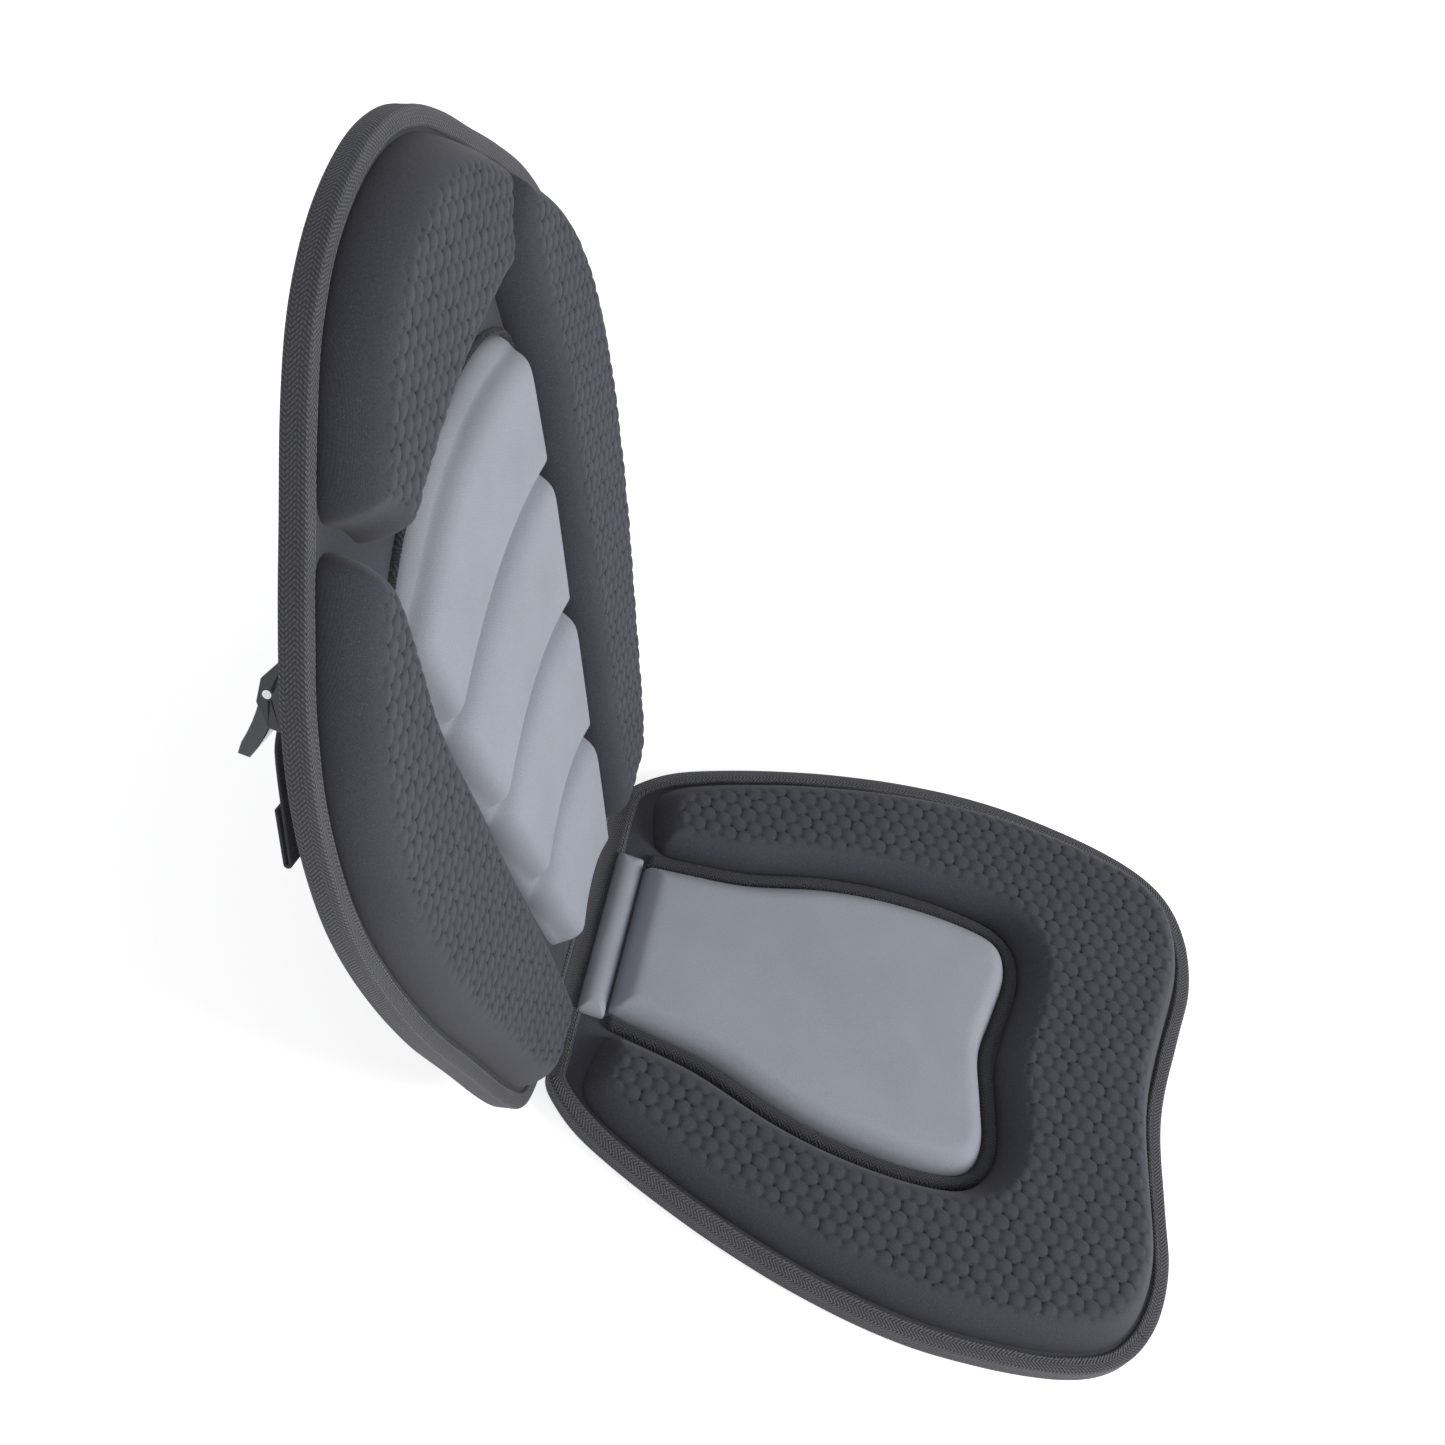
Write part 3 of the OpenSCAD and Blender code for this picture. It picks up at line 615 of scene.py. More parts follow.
# Shares and levels that the finishes have in common
SPECK_SIZE = 0.22  # radius of a speck, in spacings
SPECK_SHADE = 0.8  # how far a speck takes on the thread's colour
GRAIN_SHADE = 0.45  # how far the fibres' grain does
MOTTLE_SHADE = 0.14  # how far the slow change of shade darkens the cloth
DARKER = 0.5  # colour of the painted shade in a valley, and the colour that the random mottling darkens towards, as a share of the cloth's own
CREST_HIGHLIGHT_SHARE = 0.4  # how strong the painted highlight on a crest is, as a share of the painted shade in a valley
ROUGH_SWING = 0.08  # change of roughness with the grain
SHEEN_ROUGH = 0.5
SPECULAR = 0.25
BUMP_STRENGTH = 0.8
HARD_BUMP_STRENGTH = 0.6


class Pattern(Enum):
    """Ways in which a textile's threads run."""

    KNIT = "knit"
    PLAIN = "plain"
    TWILL = "twill"


@dataclass(frozen=True)
class Textile:
    """A cloth finish."""

    name: str
    base: tuple[float, float, float, float]
    thread: tuple[float, float, float, float]
    pattern: Pattern
    pitch: float
    contrast: float
    rough: float = 0.85
    sheen: float = 0.1
    depth: float = 0.12 * MM
    speck: float = 0.1
    # Strength of the painted shade in valleys and of the painted highlight on crests
    shade_relief: float = 0.25
    band: float = 5 * MM
    broad: float = 45 * MM
    fine: float = 0.8 * MM

    def make(self, effects: Effects) -> Material:
        """Builds the material on a piece's own cloth coordinates."""
        material, graph = new_material(self.name)
        cloth = graph.add("ShaderNodeAttribute", attribute_name="cloth").outputs["Vector"]
        painted_shade = graph.add("ShaderNodeAttribute", attribute_name="painted_shade").outputs["Fac"]
        sizes = {"Vector": cloth, "Broad": self.broad, "Fine": self.fine}
        mottle = graph.add("ShaderNodeGroup", sizes, node_tree=effects.mottle)
        run = {"Vector": cloth, "Pitch": self.pitch}
        if self.pattern is Pattern.TWILL:
            weave = graph.add("ShaderNodeGroup", run | {"Band": self.band}, node_tree=effects.twill)
        else:
            weave = graph.add("ShaderNodeGroup", run, node_tree=effects.weave)
        lint = {"Vector": cloth, "Share": self.speck, "Size": SPECK_SIZE}
        specks = graph.add("ShaderNodeGroup", lint, node_tree=effects.specks)
        broad, grain = mottle.outputs["Broad"], mottle.outputs["Grain"]
        share = graph.math("MULTIPLY", weave.outputs["Threads"], self.contrast)
        share = graph.math("ADD", share, graph.math("MULTIPLY", grain, GRAIN_SHADE), clamp=True)
        dots = graph.math("MULTIPLY", specks.outputs["Mask"], SPECK_SHADE)
        share = graph.math("ADD", share, dots)
        colour = graph.mix(share, self.base, self.thread)
        dark = tuple(DARKER * c for c in self.base[:3]) + (1.0,)
        # Painted shade in valleys, towards a darker copy of the cloth
        painted_valley_shade = graph.ramp(painted_shade, 0.0, 0.5, self.shade_relief, 0.0)
        colour = graph.mix(painted_valley_shade, colour, dark)
        # Painted highlight on crests, towards the thread colour
        painted_crest_highlight = graph.ramp(painted_shade, 0.5, 1.0, 0.0, CREST_HIGHLIGHT_SHARE * self.shade_relief)
        colour = graph.mix(painted_crest_highlight, colour, self.thread)
        colour = graph.mix(graph.math("MULTIPLY", broad, MOTTLE_SHADE), colour, dark)
        roughest = min(1.0, self.rough + ROUGH_SWING)
        rough = graph.ramp(grain, 0.0, 1.0, self.rough - ROUGH_SWING, roughest)
        lift = graph.math("ADD", weave.outputs["Height"], graph.math("MULTIPLY", grain, 0.5))
        more = {
            "Sheen Weight": self.sheen,
            "Sheen Roughness": SHEEN_ROUGH,
            "Specular IOR Level": SPECULAR,
        }
        graph.surface(colour, rough, lift, (self.depth, BUMP_STRENGTH), more)
        return material


@dataclass(frozen=True)
class Hard:
    """A moulded plastic or cast metal finish."""

    name: str
    base: tuple[float, float, float, float]
    worn: tuple[float, float, float, float]
    metallic: float
    rough: float
    coat: float = 0.0
    broad: float = 9 * MM
    grain: float = 0.6 * MM
    depth: float = 0.02 * MM

    def make(self, effects: Effects) -> Material:
        """Builds the material on object coordinates."""
        material, graph = new_material(self.name)
        place = graph.add("ShaderNodeTexCoord").outputs["Object"]
        sizes = {"Vector": place, "Broad": self.broad, "Fine": self.grain}
        mottle = graph.add("ShaderNodeGroup", sizes, node_tree=effects.mottle)
        broad, grain = mottle.outputs["Broad"], mottle.outputs["Grain"]
        wear = graph.ramp(graph.math("MULTIPLY", broad, grain), 0.25, 0.8, 0.0, 0.6)
        colour = graph.mix(wear, self.base, self.worn)
        rough = graph.ramp(broad, 0.0, 1.0, self.rough * 0.8, self.rough * 1.25)
        more = {"Metallic": self.metallic, "Coat Weight": self.coat}
        graph.surface(colour, rough, grain, (self.depth, HARD_BUMP_STRENGTH), more)
        return material


class Finishes:
    """Every finish of the seat."""

    def __init__(self) -> None:
        """Builds the shared effects and the materials."""
        effects = Effects()
        self.charcoal = Textile(
            "charcoal_stretch_fabric", (0.024, 0.024, 0.034, 1), (0.105, 0.105, 0.13, 1),
            Pattern.KNIT, 0.7 * MM, 0.22, rough=0.9, sheen=0.1, speck=0.14, shade_relief=0.75,
        ).make(effects)
        self.grey = Textile(
            "grey_woven_fabric", (0.26, 0.278, 0.32, 1), (0.40, 0.42, 0.475, 1),
            Pattern.PLAIN, 0.9 * MM, 0.55, rough=0.88, sheen=0.06, speck=0.0, shade_relief=0.4,
        ).make(effects)
        self.cloth = Textile(
            "black_woven_cloth", (0.030, 0.030, 0.037, 1), (0.062, 0.062, 0.074, 1),
            Pattern.PLAIN, 1.3 * MM, 0.6, rough=0.8, sheen=0.08, speck=0.04,
        ).make(effects)
        self.binding = Textile(
            "twill_binding_tape", (0.016, 0.016, 0.02, 1), (0.16, 0.16, 0.18, 1),
            Pattern.TWILL, 2.2 * MM, 0.7, rough=0.7, depth=0.5 * MM, speck=0.06, band=4.6 * MM,
        ).make(effects)
        self.band = Textile(
            "black_twill_band", (0.013, 0.013, 0.018, 1), (0.08, 0.08, 0.096, 1),
            Pattern.TWILL, 1.9 * MM, 0.6, rough=0.75, depth=0.4 * MM, speck=0.04, band=3 * MM,
        ).make(effects)
        self.webbing = Textile(
            "ribbed_webbing", (0.016, 0.016, 0.021, 1), (0.075, 0.075, 0.09, 1),
            Pattern.PLAIN, 1.9 * MM, 0.7, rough=0.7, depth=0.35 * MM, speck=0.03,
        ).make(effects)
        self.thread = Textile(
            "sewing_thread", (0.10, 0.10, 0.115, 1), (0.22, 0.22, 0.24, 1),
            Pattern.TWILL, 0.5 * MM, 0.6, rough=0.6, depth=0.05 * MM, speck=0.0,
        ).make(effects)
        self.plastic = Hard(
            "gloss_black_plastic", (0.012, 0.015, 0.026, 1), (0.035, 0.04, 0.055, 1), 0.0, 0.2,
            coat=0.3,
        ).make(effects)
        self.frame_plastic = Hard(
            "satin_black_plastic", (0.014, 0.015, 0.019, 1), (0.035, 0.036, 0.042, 1), 0.0, 0.38,
        ).make(effects)
        self.brass = Hard(
            "cast_brass", (0.74, 0.55, 0.25, 1), (0.50, 0.36, 0.16, 1), 1.0, 0.24, depth=0.03 * MM,
        ).make(effects)
        self.steel = Hard(
            "turned_steel", (0.55, 0.56, 0.58, 1), (0.40, 0.40, 0.42, 1), 1.0, 0.3,
        ).make(effects)
        self.sheet = Hard(
            "stiffener_sheet", (0.55, 0.55, 0.53, 1), (0.42, 0.42, 0.40, 1), 0.0, 0.5,
        ).make(effects)


# Sub-assemblies ------------------------------------------------------------------


def seat_place() -> Place:
    """The seat's frame: on the floor under the hinge, with the hinge line along X."""
    hinge = frame["joints"][0]["pos_m"]
    return Place(np.array([0.0, hinge[1], 0.0]), np.eye(3))


def back_place() -> Place:
    """The back's frame: at the hinge, with along up the back and out towards the sitter."""
    points = node_points("back_stiffener").astype(float)
    out = np.linalg.svd(points - points.mean(0), full_matrices=False)[2][2]
    out *= -np.sign(out[1])
    across = np.array([1.0, 0.0, 0.0])
    hinge = np.array(frame["joints"][0]["pos_m"])
    return Place(hinge, np.array([across, np.cross(out, across), out]))


def settle(piece: Object, body: str, slot: Slot, *nodes: str) -> Object:
    """Puts a piece on its body and hides the CAD nodes that it replaces."""
    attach(piece, body)
    if nodes:
        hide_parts(*nodes)
    return piece


@dataclass
class Stitcher:
    """Makes rows of thread stitches."""

    pitch: float = 3.4 * MM
    length: float = 2.4 * MM
    radius: float = 0.28 * MM
    sides: int = 6
    rings: tuple[tuple[float, float], ...] = ((-0.5, 0.35), (-0.3, 1.0), (0.3, 1.0), (0.5, 0.35))

    def row(self, name: str, lines: Sequence[tuple[Array, Array]], material: Material) -> Object:
        """One object with a stitch at every pitch along some lines.

        Args:
            name: The piece's name.
            lines: Pairs of (n, 3) points and (n, 3) surface normals, in the row frame.
            material: The thread's finish.

        Returns:
            The stitches.
        """
        sides, last = self.sides, (len(self.rings) - 1) * self.sides
        turns = np.linspace(0, math.tau, sides, endpoint=False)
        points, faces, cloth = [], [], []
        for line, normals in lines:
            run = run_along(line)
            for at in np.arange(self.pitch / 2, run[-1], self.pitch):
                k = min(int(np.searchsorted(run, at)), len(line) - 1)
                share = (at - run[k - 1]) / max(run[k] - run[k - 1], 1e-9)
                middle = line[k - 1] + share * (line[k] - line[k - 1])
                along = line[k] - line[k - 1]
                along = along / np.linalg.norm(along)
                up = normals[k] - along * (normals[k] @ along)
                up /= np.linalg.norm(up)
                side = np.cross(along, up)
                first = len(points)
                for reach, size in self.rings:
                    centre = middle + reach * self.length * along
                    for turn in turns:
                        ring = math.cos(turn) * side + math.sin(turn) * up
                        points.append(centre + size * self.radius * ring)
                        cloth.append((reach * self.length, turn * self.radius, at))
                for ring_start in range(first, first + last, sides):
                    for i in range(sides):
                        a, b = ring_start + i, ring_start + (i + 1) % sides
                        faces.append((a, b, b + sides, a + sides))
                faces.append([first + i for i in reversed(range(sides))])
                faces.append([first + last + i for i in range(sides)])
        return new_piece(name, np.array(points), faces, material, np.array(cloth), crease=80)


@dataclass
class Shell:
    """One shell of the seat: two covers and the tape that binds its edge."""

    name: str
    body: str
    place: Place
    front_node: str
    rear_node: str
    foam_node: str
    binding_node: str
    corner: float = 5 * MM
    lap: float = 8 * MM
    tape: float = 1.2 * MM
    cover: float = 4.8 * MM
    seam_inset: float = 1.7 * MM

    def outline(self, step: float) -> Array:
        """Outline of the shell with its corners rounded."""
        return node_loop(self.front_node, self.place, True, step, self.corner)

    def build(self, finish: Finishes) -> None:
        """Builds the covers, the binding and its stitches."""
        low, _ = levels(self.rear_node, self.place)
        _, high = levels(self.front_node, self.place)
        front, rear = (self.front_node, self.foam_node), self.rear_node
        self._cover(finish.charcoal, self.place, high, Slot.CHARCOAL, *front)
        self._cover(finish.cloth, self.place.turned_over(), -low, Slot.CLOTH, rear)
        self._binding(finish, low, high)

    def _cover(self, material: Material, place: Place, top: float, slot: Slot, *nodes: str) -> None:
        """Cloth stretched over one face of the shell.

        Args:
            material: The cloth.
            place: The frame whose out axis leaves that face.
            top: Height of the face in that frame.
            slot: The record's slot; not used.
            *nodes: CAD nodes that the cover stands for.
        """
        flip = -1.0 if place is not self.place else 1.0
        loop = self.outline(2 * MM) * np.array([flip, 1.0])
        loop = loop if loop_area(loop) > 0 else loop[::-1]
        dip = Profile(((0, 0), (0.4, 0.7), (1.5, 0.93), (9, 0.955), (13, 1)), 0.2)

        def height(points: Array, depth: Array) -> Skin:
            """Skin that dips where it meets the binding and ripples a little, with painted shade
            and highlight following the ripples.
            """
            x, y = points[:, 0], points[:, 1]
            ripple = np.sin(x / (13 * MM) + 2 * np.sin(y / (31 * MM))) * np.sin(y / (17 * MM) + 1.3)
            calm = smoothstep(depth, 9 * MM, 30 * MM)
            # The second value is painted shade and highlight that follow the ripples
            return dip(depth) * self.cover + 0.14 * MM * ripple * calm, 0.5 + 0.1 * ripple * calm

        skin = Sheet(place, loop, top - self.cover, height, 3.2 * MM, (0.4, 1.2))
        cover = skin.build(nodes[0] + "_cloth", material)
        settle(cover, self.body, slot, *nodes)

    def _binding(self, finish: Finishes, low: float, high: float) -> None:
        """Tape folded over the shell's edge, with a line of stitches on each face."""
        path = self.outline(1.0 * MM)
        normal = outward(path)
        lap, tape = self.lap, self.tape
        # Places across the tape, from its inner edge outwards, and its height there in tapes
        face = [(-lap, 0.1), (-lap + 0.25 * MM, 0.75), (-lap + 1.1 * MM, 0.98), (-0.62 * lap, 0.92),
                (-0.3 * lap, 1.0), (-0.08 * lap, 0.97), (0.45 * tape, 0.72), (0.9 * tape, 0.1)]
        top = [(n, high + tape * z) for n, z in face]
        span = high - low
        edge = [(tape, high - 0.12 * span), (0.93 * tape, high - 0.35 * span),
                (0.93 * tape, high - 0.65 * span), (tape, high - 0.88 * span)]
        under = [(n, low - tape * z) for n, z in reversed(face)]
        inner = [(-lap, low + 0.3 * MM), (-0.5 * MM, low + 0.6 * MM),
                 (-0.5 * MM, high - 0.6 * MM), (-lap, high - 0.3 * MM)]
        profile = np.array(top + edge + under + inner)
        count, around = len(path), len(profile)
        run = run_along(path)
        ripple = 1 + 0.03 * np.sin(run / (7 * MM))
        local = np.empty((count, around, 3))
        swayed = normal * ripple[:, None]
        local[:, :, :2] = path[:, None] + profile[None, :, :1] * swayed[:, None]
        local[:, :, 2] = profile[:, 1]
        cloth = wrap(run, run_along(profile))
        points = self.place.world(local.reshape(-1, 3))
        faces = tube_faces(count, around, True)
        name = self.name + "_binding"
        tape_piece = new_piece(name, points, faces, finish.binding, cloth, crease=80)
        settle(tape_piece, self.body, Slot.BINDING, self.binding_node)
        lines = []
        for level, way in ((high + tape, 1.0), (low - tape + 0.15 * MM, -1.0)):
            seam_path = path - (lap - self.seam_inset) * normal
            flat = np.vstack([seam_path, seam_path[:1]])
            line = self.place.world(np.column_stack([flat, np.full(len(flat), level)]))
            lines.append((line, np.tile(way * self.place.axes[2], (len(line), 1))))
        seam = Stitcher().row(self.name + "_binding_stitches", lines, finish.thread)
        settle(seam, self.body, Slot.BINDING)


@dataclass
class Pad:
    """A moulded foam pad under stretch cloth, with pressed domes or plain."""

    name: str
    body: str
    place: Place
    node: str
    height: tuple[float, float]
    along: tuple[float, float]
    rise: Profile
    slot: Slot
    corner: float = 6 * MM
    crown: float = 1.2 * MM
    domes: Domes | None = None
    pitch: float = 1.3 * MM
    crown_reach: float = 20 * MM
    ridge: tuple[float, float, float] = (0.22, 9 * MM, 3 * MM)  # painted highlight along the shoulder: strength, place and width
    foot: tuple[float, float] = (0.45, 1.4 * MM)  # strength and width of the painted shade in the crease at the pad's edge

    def raised(self, points: Array, depth: Array) -> Skin:
        """Height and painted shade and highlight of the pad's skin."""
        share = np.clip((points[:, 1] - self.along[0]) / (self.along[1] - self.along[0]), 0, 1)
        full = self.height[0] + (self.height[1] - self.height[0]) * share
        rise = self.rise(depth)
        height = full * rise + self.crown * (1 - np.exp(-depth / self.crown_reach)) * rise
        # Painted highlight along the shoulder and painted shade in the crease at the pad's edge
        painted_shade = 0.5 + bump_at(depth, *self.ridge) - self.foot[0] * np.exp(-depth / self.foot[1])
        if self.domes:
            domes = self.domes
            lift, mask = domes(points, depth)
            sunk = 0.5 * domes.height * smoothstep(depth, domes.fade_from, domes.fade_to)
            height = height + lift - sunk
            # Adds the domes' painted shade and highlight
            painted_shade = painted_shade + mask - 0.5
        return height, painted_shade

    def build(self, material: Material) -> Object:
        """Raises the pad over its CAD outline.

        Args:
            material: The pad's cloth.

        Returns:
            The pad.
        """
        base, _ = levels(self.node, self.place)
        loop = node_loop(self.node, self.place, False, self.pitch, self.corner)
        piece = Sheet(self.place, loop, base, self.raised, self.pitch).build(self.name, material)
        settle(piece, self.body, self.slot, self.node)
        return piece


@dataclass(frozen=True)
class Trim:
    """A flat band or patch with soft edges, raised over its CAD node."""

    body: str
    place: Place
    node: str
    slot: Slot
    soften: float
    pitch: float
    step: float = 1 * MM
    rings: tuple[float, ...] = (0.3, 0.8)
    shade: float = 0.4
    shade_width: float = 0.6 * MM
    thick: float | None = None

    def build(self, name: str, material: Material) -> Array:
        """Raises the trim.

        Args:
            name: The piece's name.
            material: Its cloth.

        Returns:
            Its outline as (n, 2) points.
        """
        base, top = levels(self.node, self.place)
        loop = node_loop(self.node, self.place, True, self.step, self.soften)
        thick = top - base if self.thick is None else self.thick

        def height(points: Array, depth: Array) -> Skin:
            """Flat skin with rolled edges and painted shade close to them."""
            # Painted shade along the rolled edges
            return thick * TRIM_RISE(depth), 0.5 - self.shade * np.exp(-depth / self.shade_width)

        piece = Sheet(self.place, loop, base, height, self.pitch, self.rings).build(name, material)
        settle(piece, self.body, self.slot, self.node)
        return loop


@dataclass
class SeatPads:
    """Everything soft on top of the seat shell."""

    place: Place
    rear_h: float = 14 * MM
    front_h: float = 22 * MM
    centre_h: float = 13 * MM
    band_h: float = 4 * MM
    roll_h: float = 6.6 * MM

    def build(self, finish: Finishes) -> None:
        """Builds the horseshoe pad, the grey centre, its band and the rear roll."""
        low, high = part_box("seat_pad")
        hinge_y = float(self.place.origin[1])
        rear, front = high[1] - hinge_y, low[1] - hinge_y
        along = (rear, front)
        Pad("seat_pad_domed", "seat", self.place, "seat_pad", (self.rear_h, self.front_h), along,
            PAD_RISE, Slot.CHARCOAL, corner=8 * MM, domes=Domes()).build(finish.charcoal)
        Pad("centre_pad_grey", "seat", self.place, "centre_pad", (self.centre_h,) * 2, along,
            CENTRE_RISE, Slot.GREY, 2 * MM, 0.8 * MM, pitch=1.8 * MM).build(finish.grey)
        Trim("seat", self.place, "centre_band", Slot.BINDING, 0.6 * MM, 1.2 * MM, 1.2 * MM,
             shade_width=0.8 * MM, thick=self.band_h).build("centre_band_twill", finish.band)
        self._roll(finish)

    def _roll(self, finish: Finishes) -> None:
        """Grey roll across the rear of the centre pad, sewn down at its ends."""
        base, _ = levels("rear_roll", self.place)
        loop = node_loop("rear_roll", self.place, False, 0.9 * MM, 1.2 * MM)
        half = 0.5 * float(np.ptp(loop[:, 1]))

        def height(points: Array, depth: Array) -> Skin:
            """Round roll, a little uneven along its length, with painted shade on its flanks and a
            faint painted highlight on top.
            """
            t = np.clip(depth / half, 0, 1)
            x = points[:, 0]
            swell = 1 + 0.05 * np.sin(x / (11 * MM)) + 0.03 * np.sin(x / (5 * MM) + 1)
            # Painted shade towards the roll's edges and a faint painted highlight on its top
            return self.roll_h * swell * np.sqrt(1 - (1 - t) ** 2), 0.45 + 0.1 * t

        skin = Sheet(self.place, loop, base, height, 0.9 * MM, (0.2, 0.5, 1.0))
        piece = skin.build("rear_roll_grey", finish.grey)
        settle(piece, "seat", Slot.GREY, "rear_roll")


@dataclass
class BackPads:
    """Everything soft on the front of the back shell."""

    place: Place
    low_h: float = 16 * MM
    high_h: float = 24.5 * MM
    panel_h: float = 8 * MM
    rib_h: float = 8 * MM
    rib_count: int = 4
    rib_crown: float = 1.3 * MM
    rib_ridge: tuple[float, float, float] = (0.12, 8 * MM, 3 * MM)  # painted highlight on each rib: strength, place and width

    def build(self, finish: Finishes) -> None:
        """Builds the top and side pads, the ribbed panel and its piping."""
        length = float(np.ptp(self.place.local(node_points("back_stiffener").astype(float))[:, 1]))
        domes = Domes()
        for node in ("top_pad", "side_pad_left", "side_pad_right"):
            Pad(node + "_domed", "back", self.place, node, (self.low_h, self.high_h), (0.0, length),
                PAD_RISE, Slot.CHARCOAL, domes=domes).build(finish.charcoal)
        self._panel(finish)
        Trim("back", self.place, "panel_piping", Slot.BINDING, 0.5 * MM, 1.0 * MM,
             rings=(0.25, 0.6)).build("panel_piping_twill", finish.band)

    def _panel(self, finish: Finishes) -> None:
        """One grey cloth moulded over the panel and its ribs."""
        base, _ = levels("back_panel", self.place)
        loop = node_loop("back_panel", self.place, False, 1.3 * MM, 3 * MM)
        names = [f"rib_{i + 1}" for i in range(self.rib_count)]
        ribs = [node_loop(n, self.place, False, 1.5 * MM, 4.5 * MM) for n in names]

        def height(points: Array, depth: Array) -> Skin:
            """Panel that swells into four arched ribs with soft valleys, with painted shade at its
            edge and between the ribs and a painted highlight on each rib.
            """
            rise = self.panel_h * THIN_RISE(depth)
            # Painted shade along the panel's edge, by the piping
            painted_shade = 0.5 - 0.4 * np.exp(-depth / (1.2 * MM))
            for rib in ribs:
                inside = np.maximum(edge_distance(points, rib), 0)
                rise = rise + self.rib_h * RIB_RISE(inside)
                rise = rise + self.rib_crown * (1 - np.exp(-inside / (14 * MM)))
                # Painted highlight along each rib
                painted_shade = painted_shade + bump_at(inside, *self.rib_ridge) * (inside > 0)
            rib_all = rise - self.panel_h * THIN_RISE(depth)
            # Painted shade in the valleys between the ribs
            painted_shade = painted_shade - 0.22 * np.exp(-rib_all / (0.8 * MM)) * smoothstep(depth, 0.0, 6 * MM)
            return rise, painted_shade

        skin = Sheet(self.place, loop, base, height, 1.4 * MM)
        piece = skin.build("ribbed_panel_grey", finish.grey)
        settle(piece, "back", Slot.GREY, "back_panel", *names)


@dataclass
class HingeCloth:
    """The cloth hinge between the two shells."""

    back: Place
    reach: float = 9 * MM
    thick: float = 0.9 * MM
    lift: float = 1.6 * MM
    bend: float = 3.5 * MM
    rings: int = 81
    steps: int = 28
    pucker: float = 0.05 * MM

    def build(self, finish: Finishes) -> None:
        """Builds one strip that bends from the seat to the back."""
        low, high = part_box("seat_hinge_tape")
        half = 0.5 * (high[0] - low[0]) - 1 * MM
        hinge = self.back.origin
        up = self.back.axes[1][1:]
        bow = self.lift * np.array([-0.45, 0.89])
        ends = [np.array([-self.reach, 0.0]), np.array([-0.45 * self.reach, 0.1 * MM]), bow,
                0.45 * self.reach * up, self.reach * up]
        t = np.linspace(0, 1, self.steps)
        weights = np.stack([math.comb(4, k) * t**k * (1 - t) ** (4 - k) for k in range(5)], axis=1)
        line = weights @ np.array(ends)
        along = np.gradient(line, axis=0)
        normal = np.stack([-along[:, 1], along[:, 0]], axis=1)
        normal /= np.linalg.norm(normal, axis=1, keepdims=True)
        taper = np.clip(np.minimum(t, 1 - t) / 0.06, 0.3, 1)[:, None]
        upper, lower = line + normal * self.thick * taper, line - normal * self.thick * 0.2
        ring = np.vstack([upper, lower[::-1]])
        xs = np.linspace(-half, half, self.rings)
        pucker = self.pucker * np.sin(xs / (9 * MM)) * np.sin(xs / (23 * MM))
        local = np.empty((len(xs), len(ring), 3))
        local[:, :, 0] = xs[:, None]
        both = np.vstack([normal, normal[::-1]])
        local[:, :, 1:] = ring[None] + pucker[:, None, None] * both[None]
        count, around = len(xs), len(ring)
        sides = tube_faces(count, around, False)[:, ::-1]
        caps = [list(range(around)), [(count - 1) * around + k for k in range(around)][::-1]]
        cloth = wrap(xs, run_along(ring))
        points = local.reshape(-1, 3) + hinge
        faces = sides.tolist() + caps
        strip = new_piece("hinge_cloth", points, faces, finish.band, cloth, crease=70)
        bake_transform(strip)
        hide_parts("seat_hinge_tape", "back_hinge_tape")


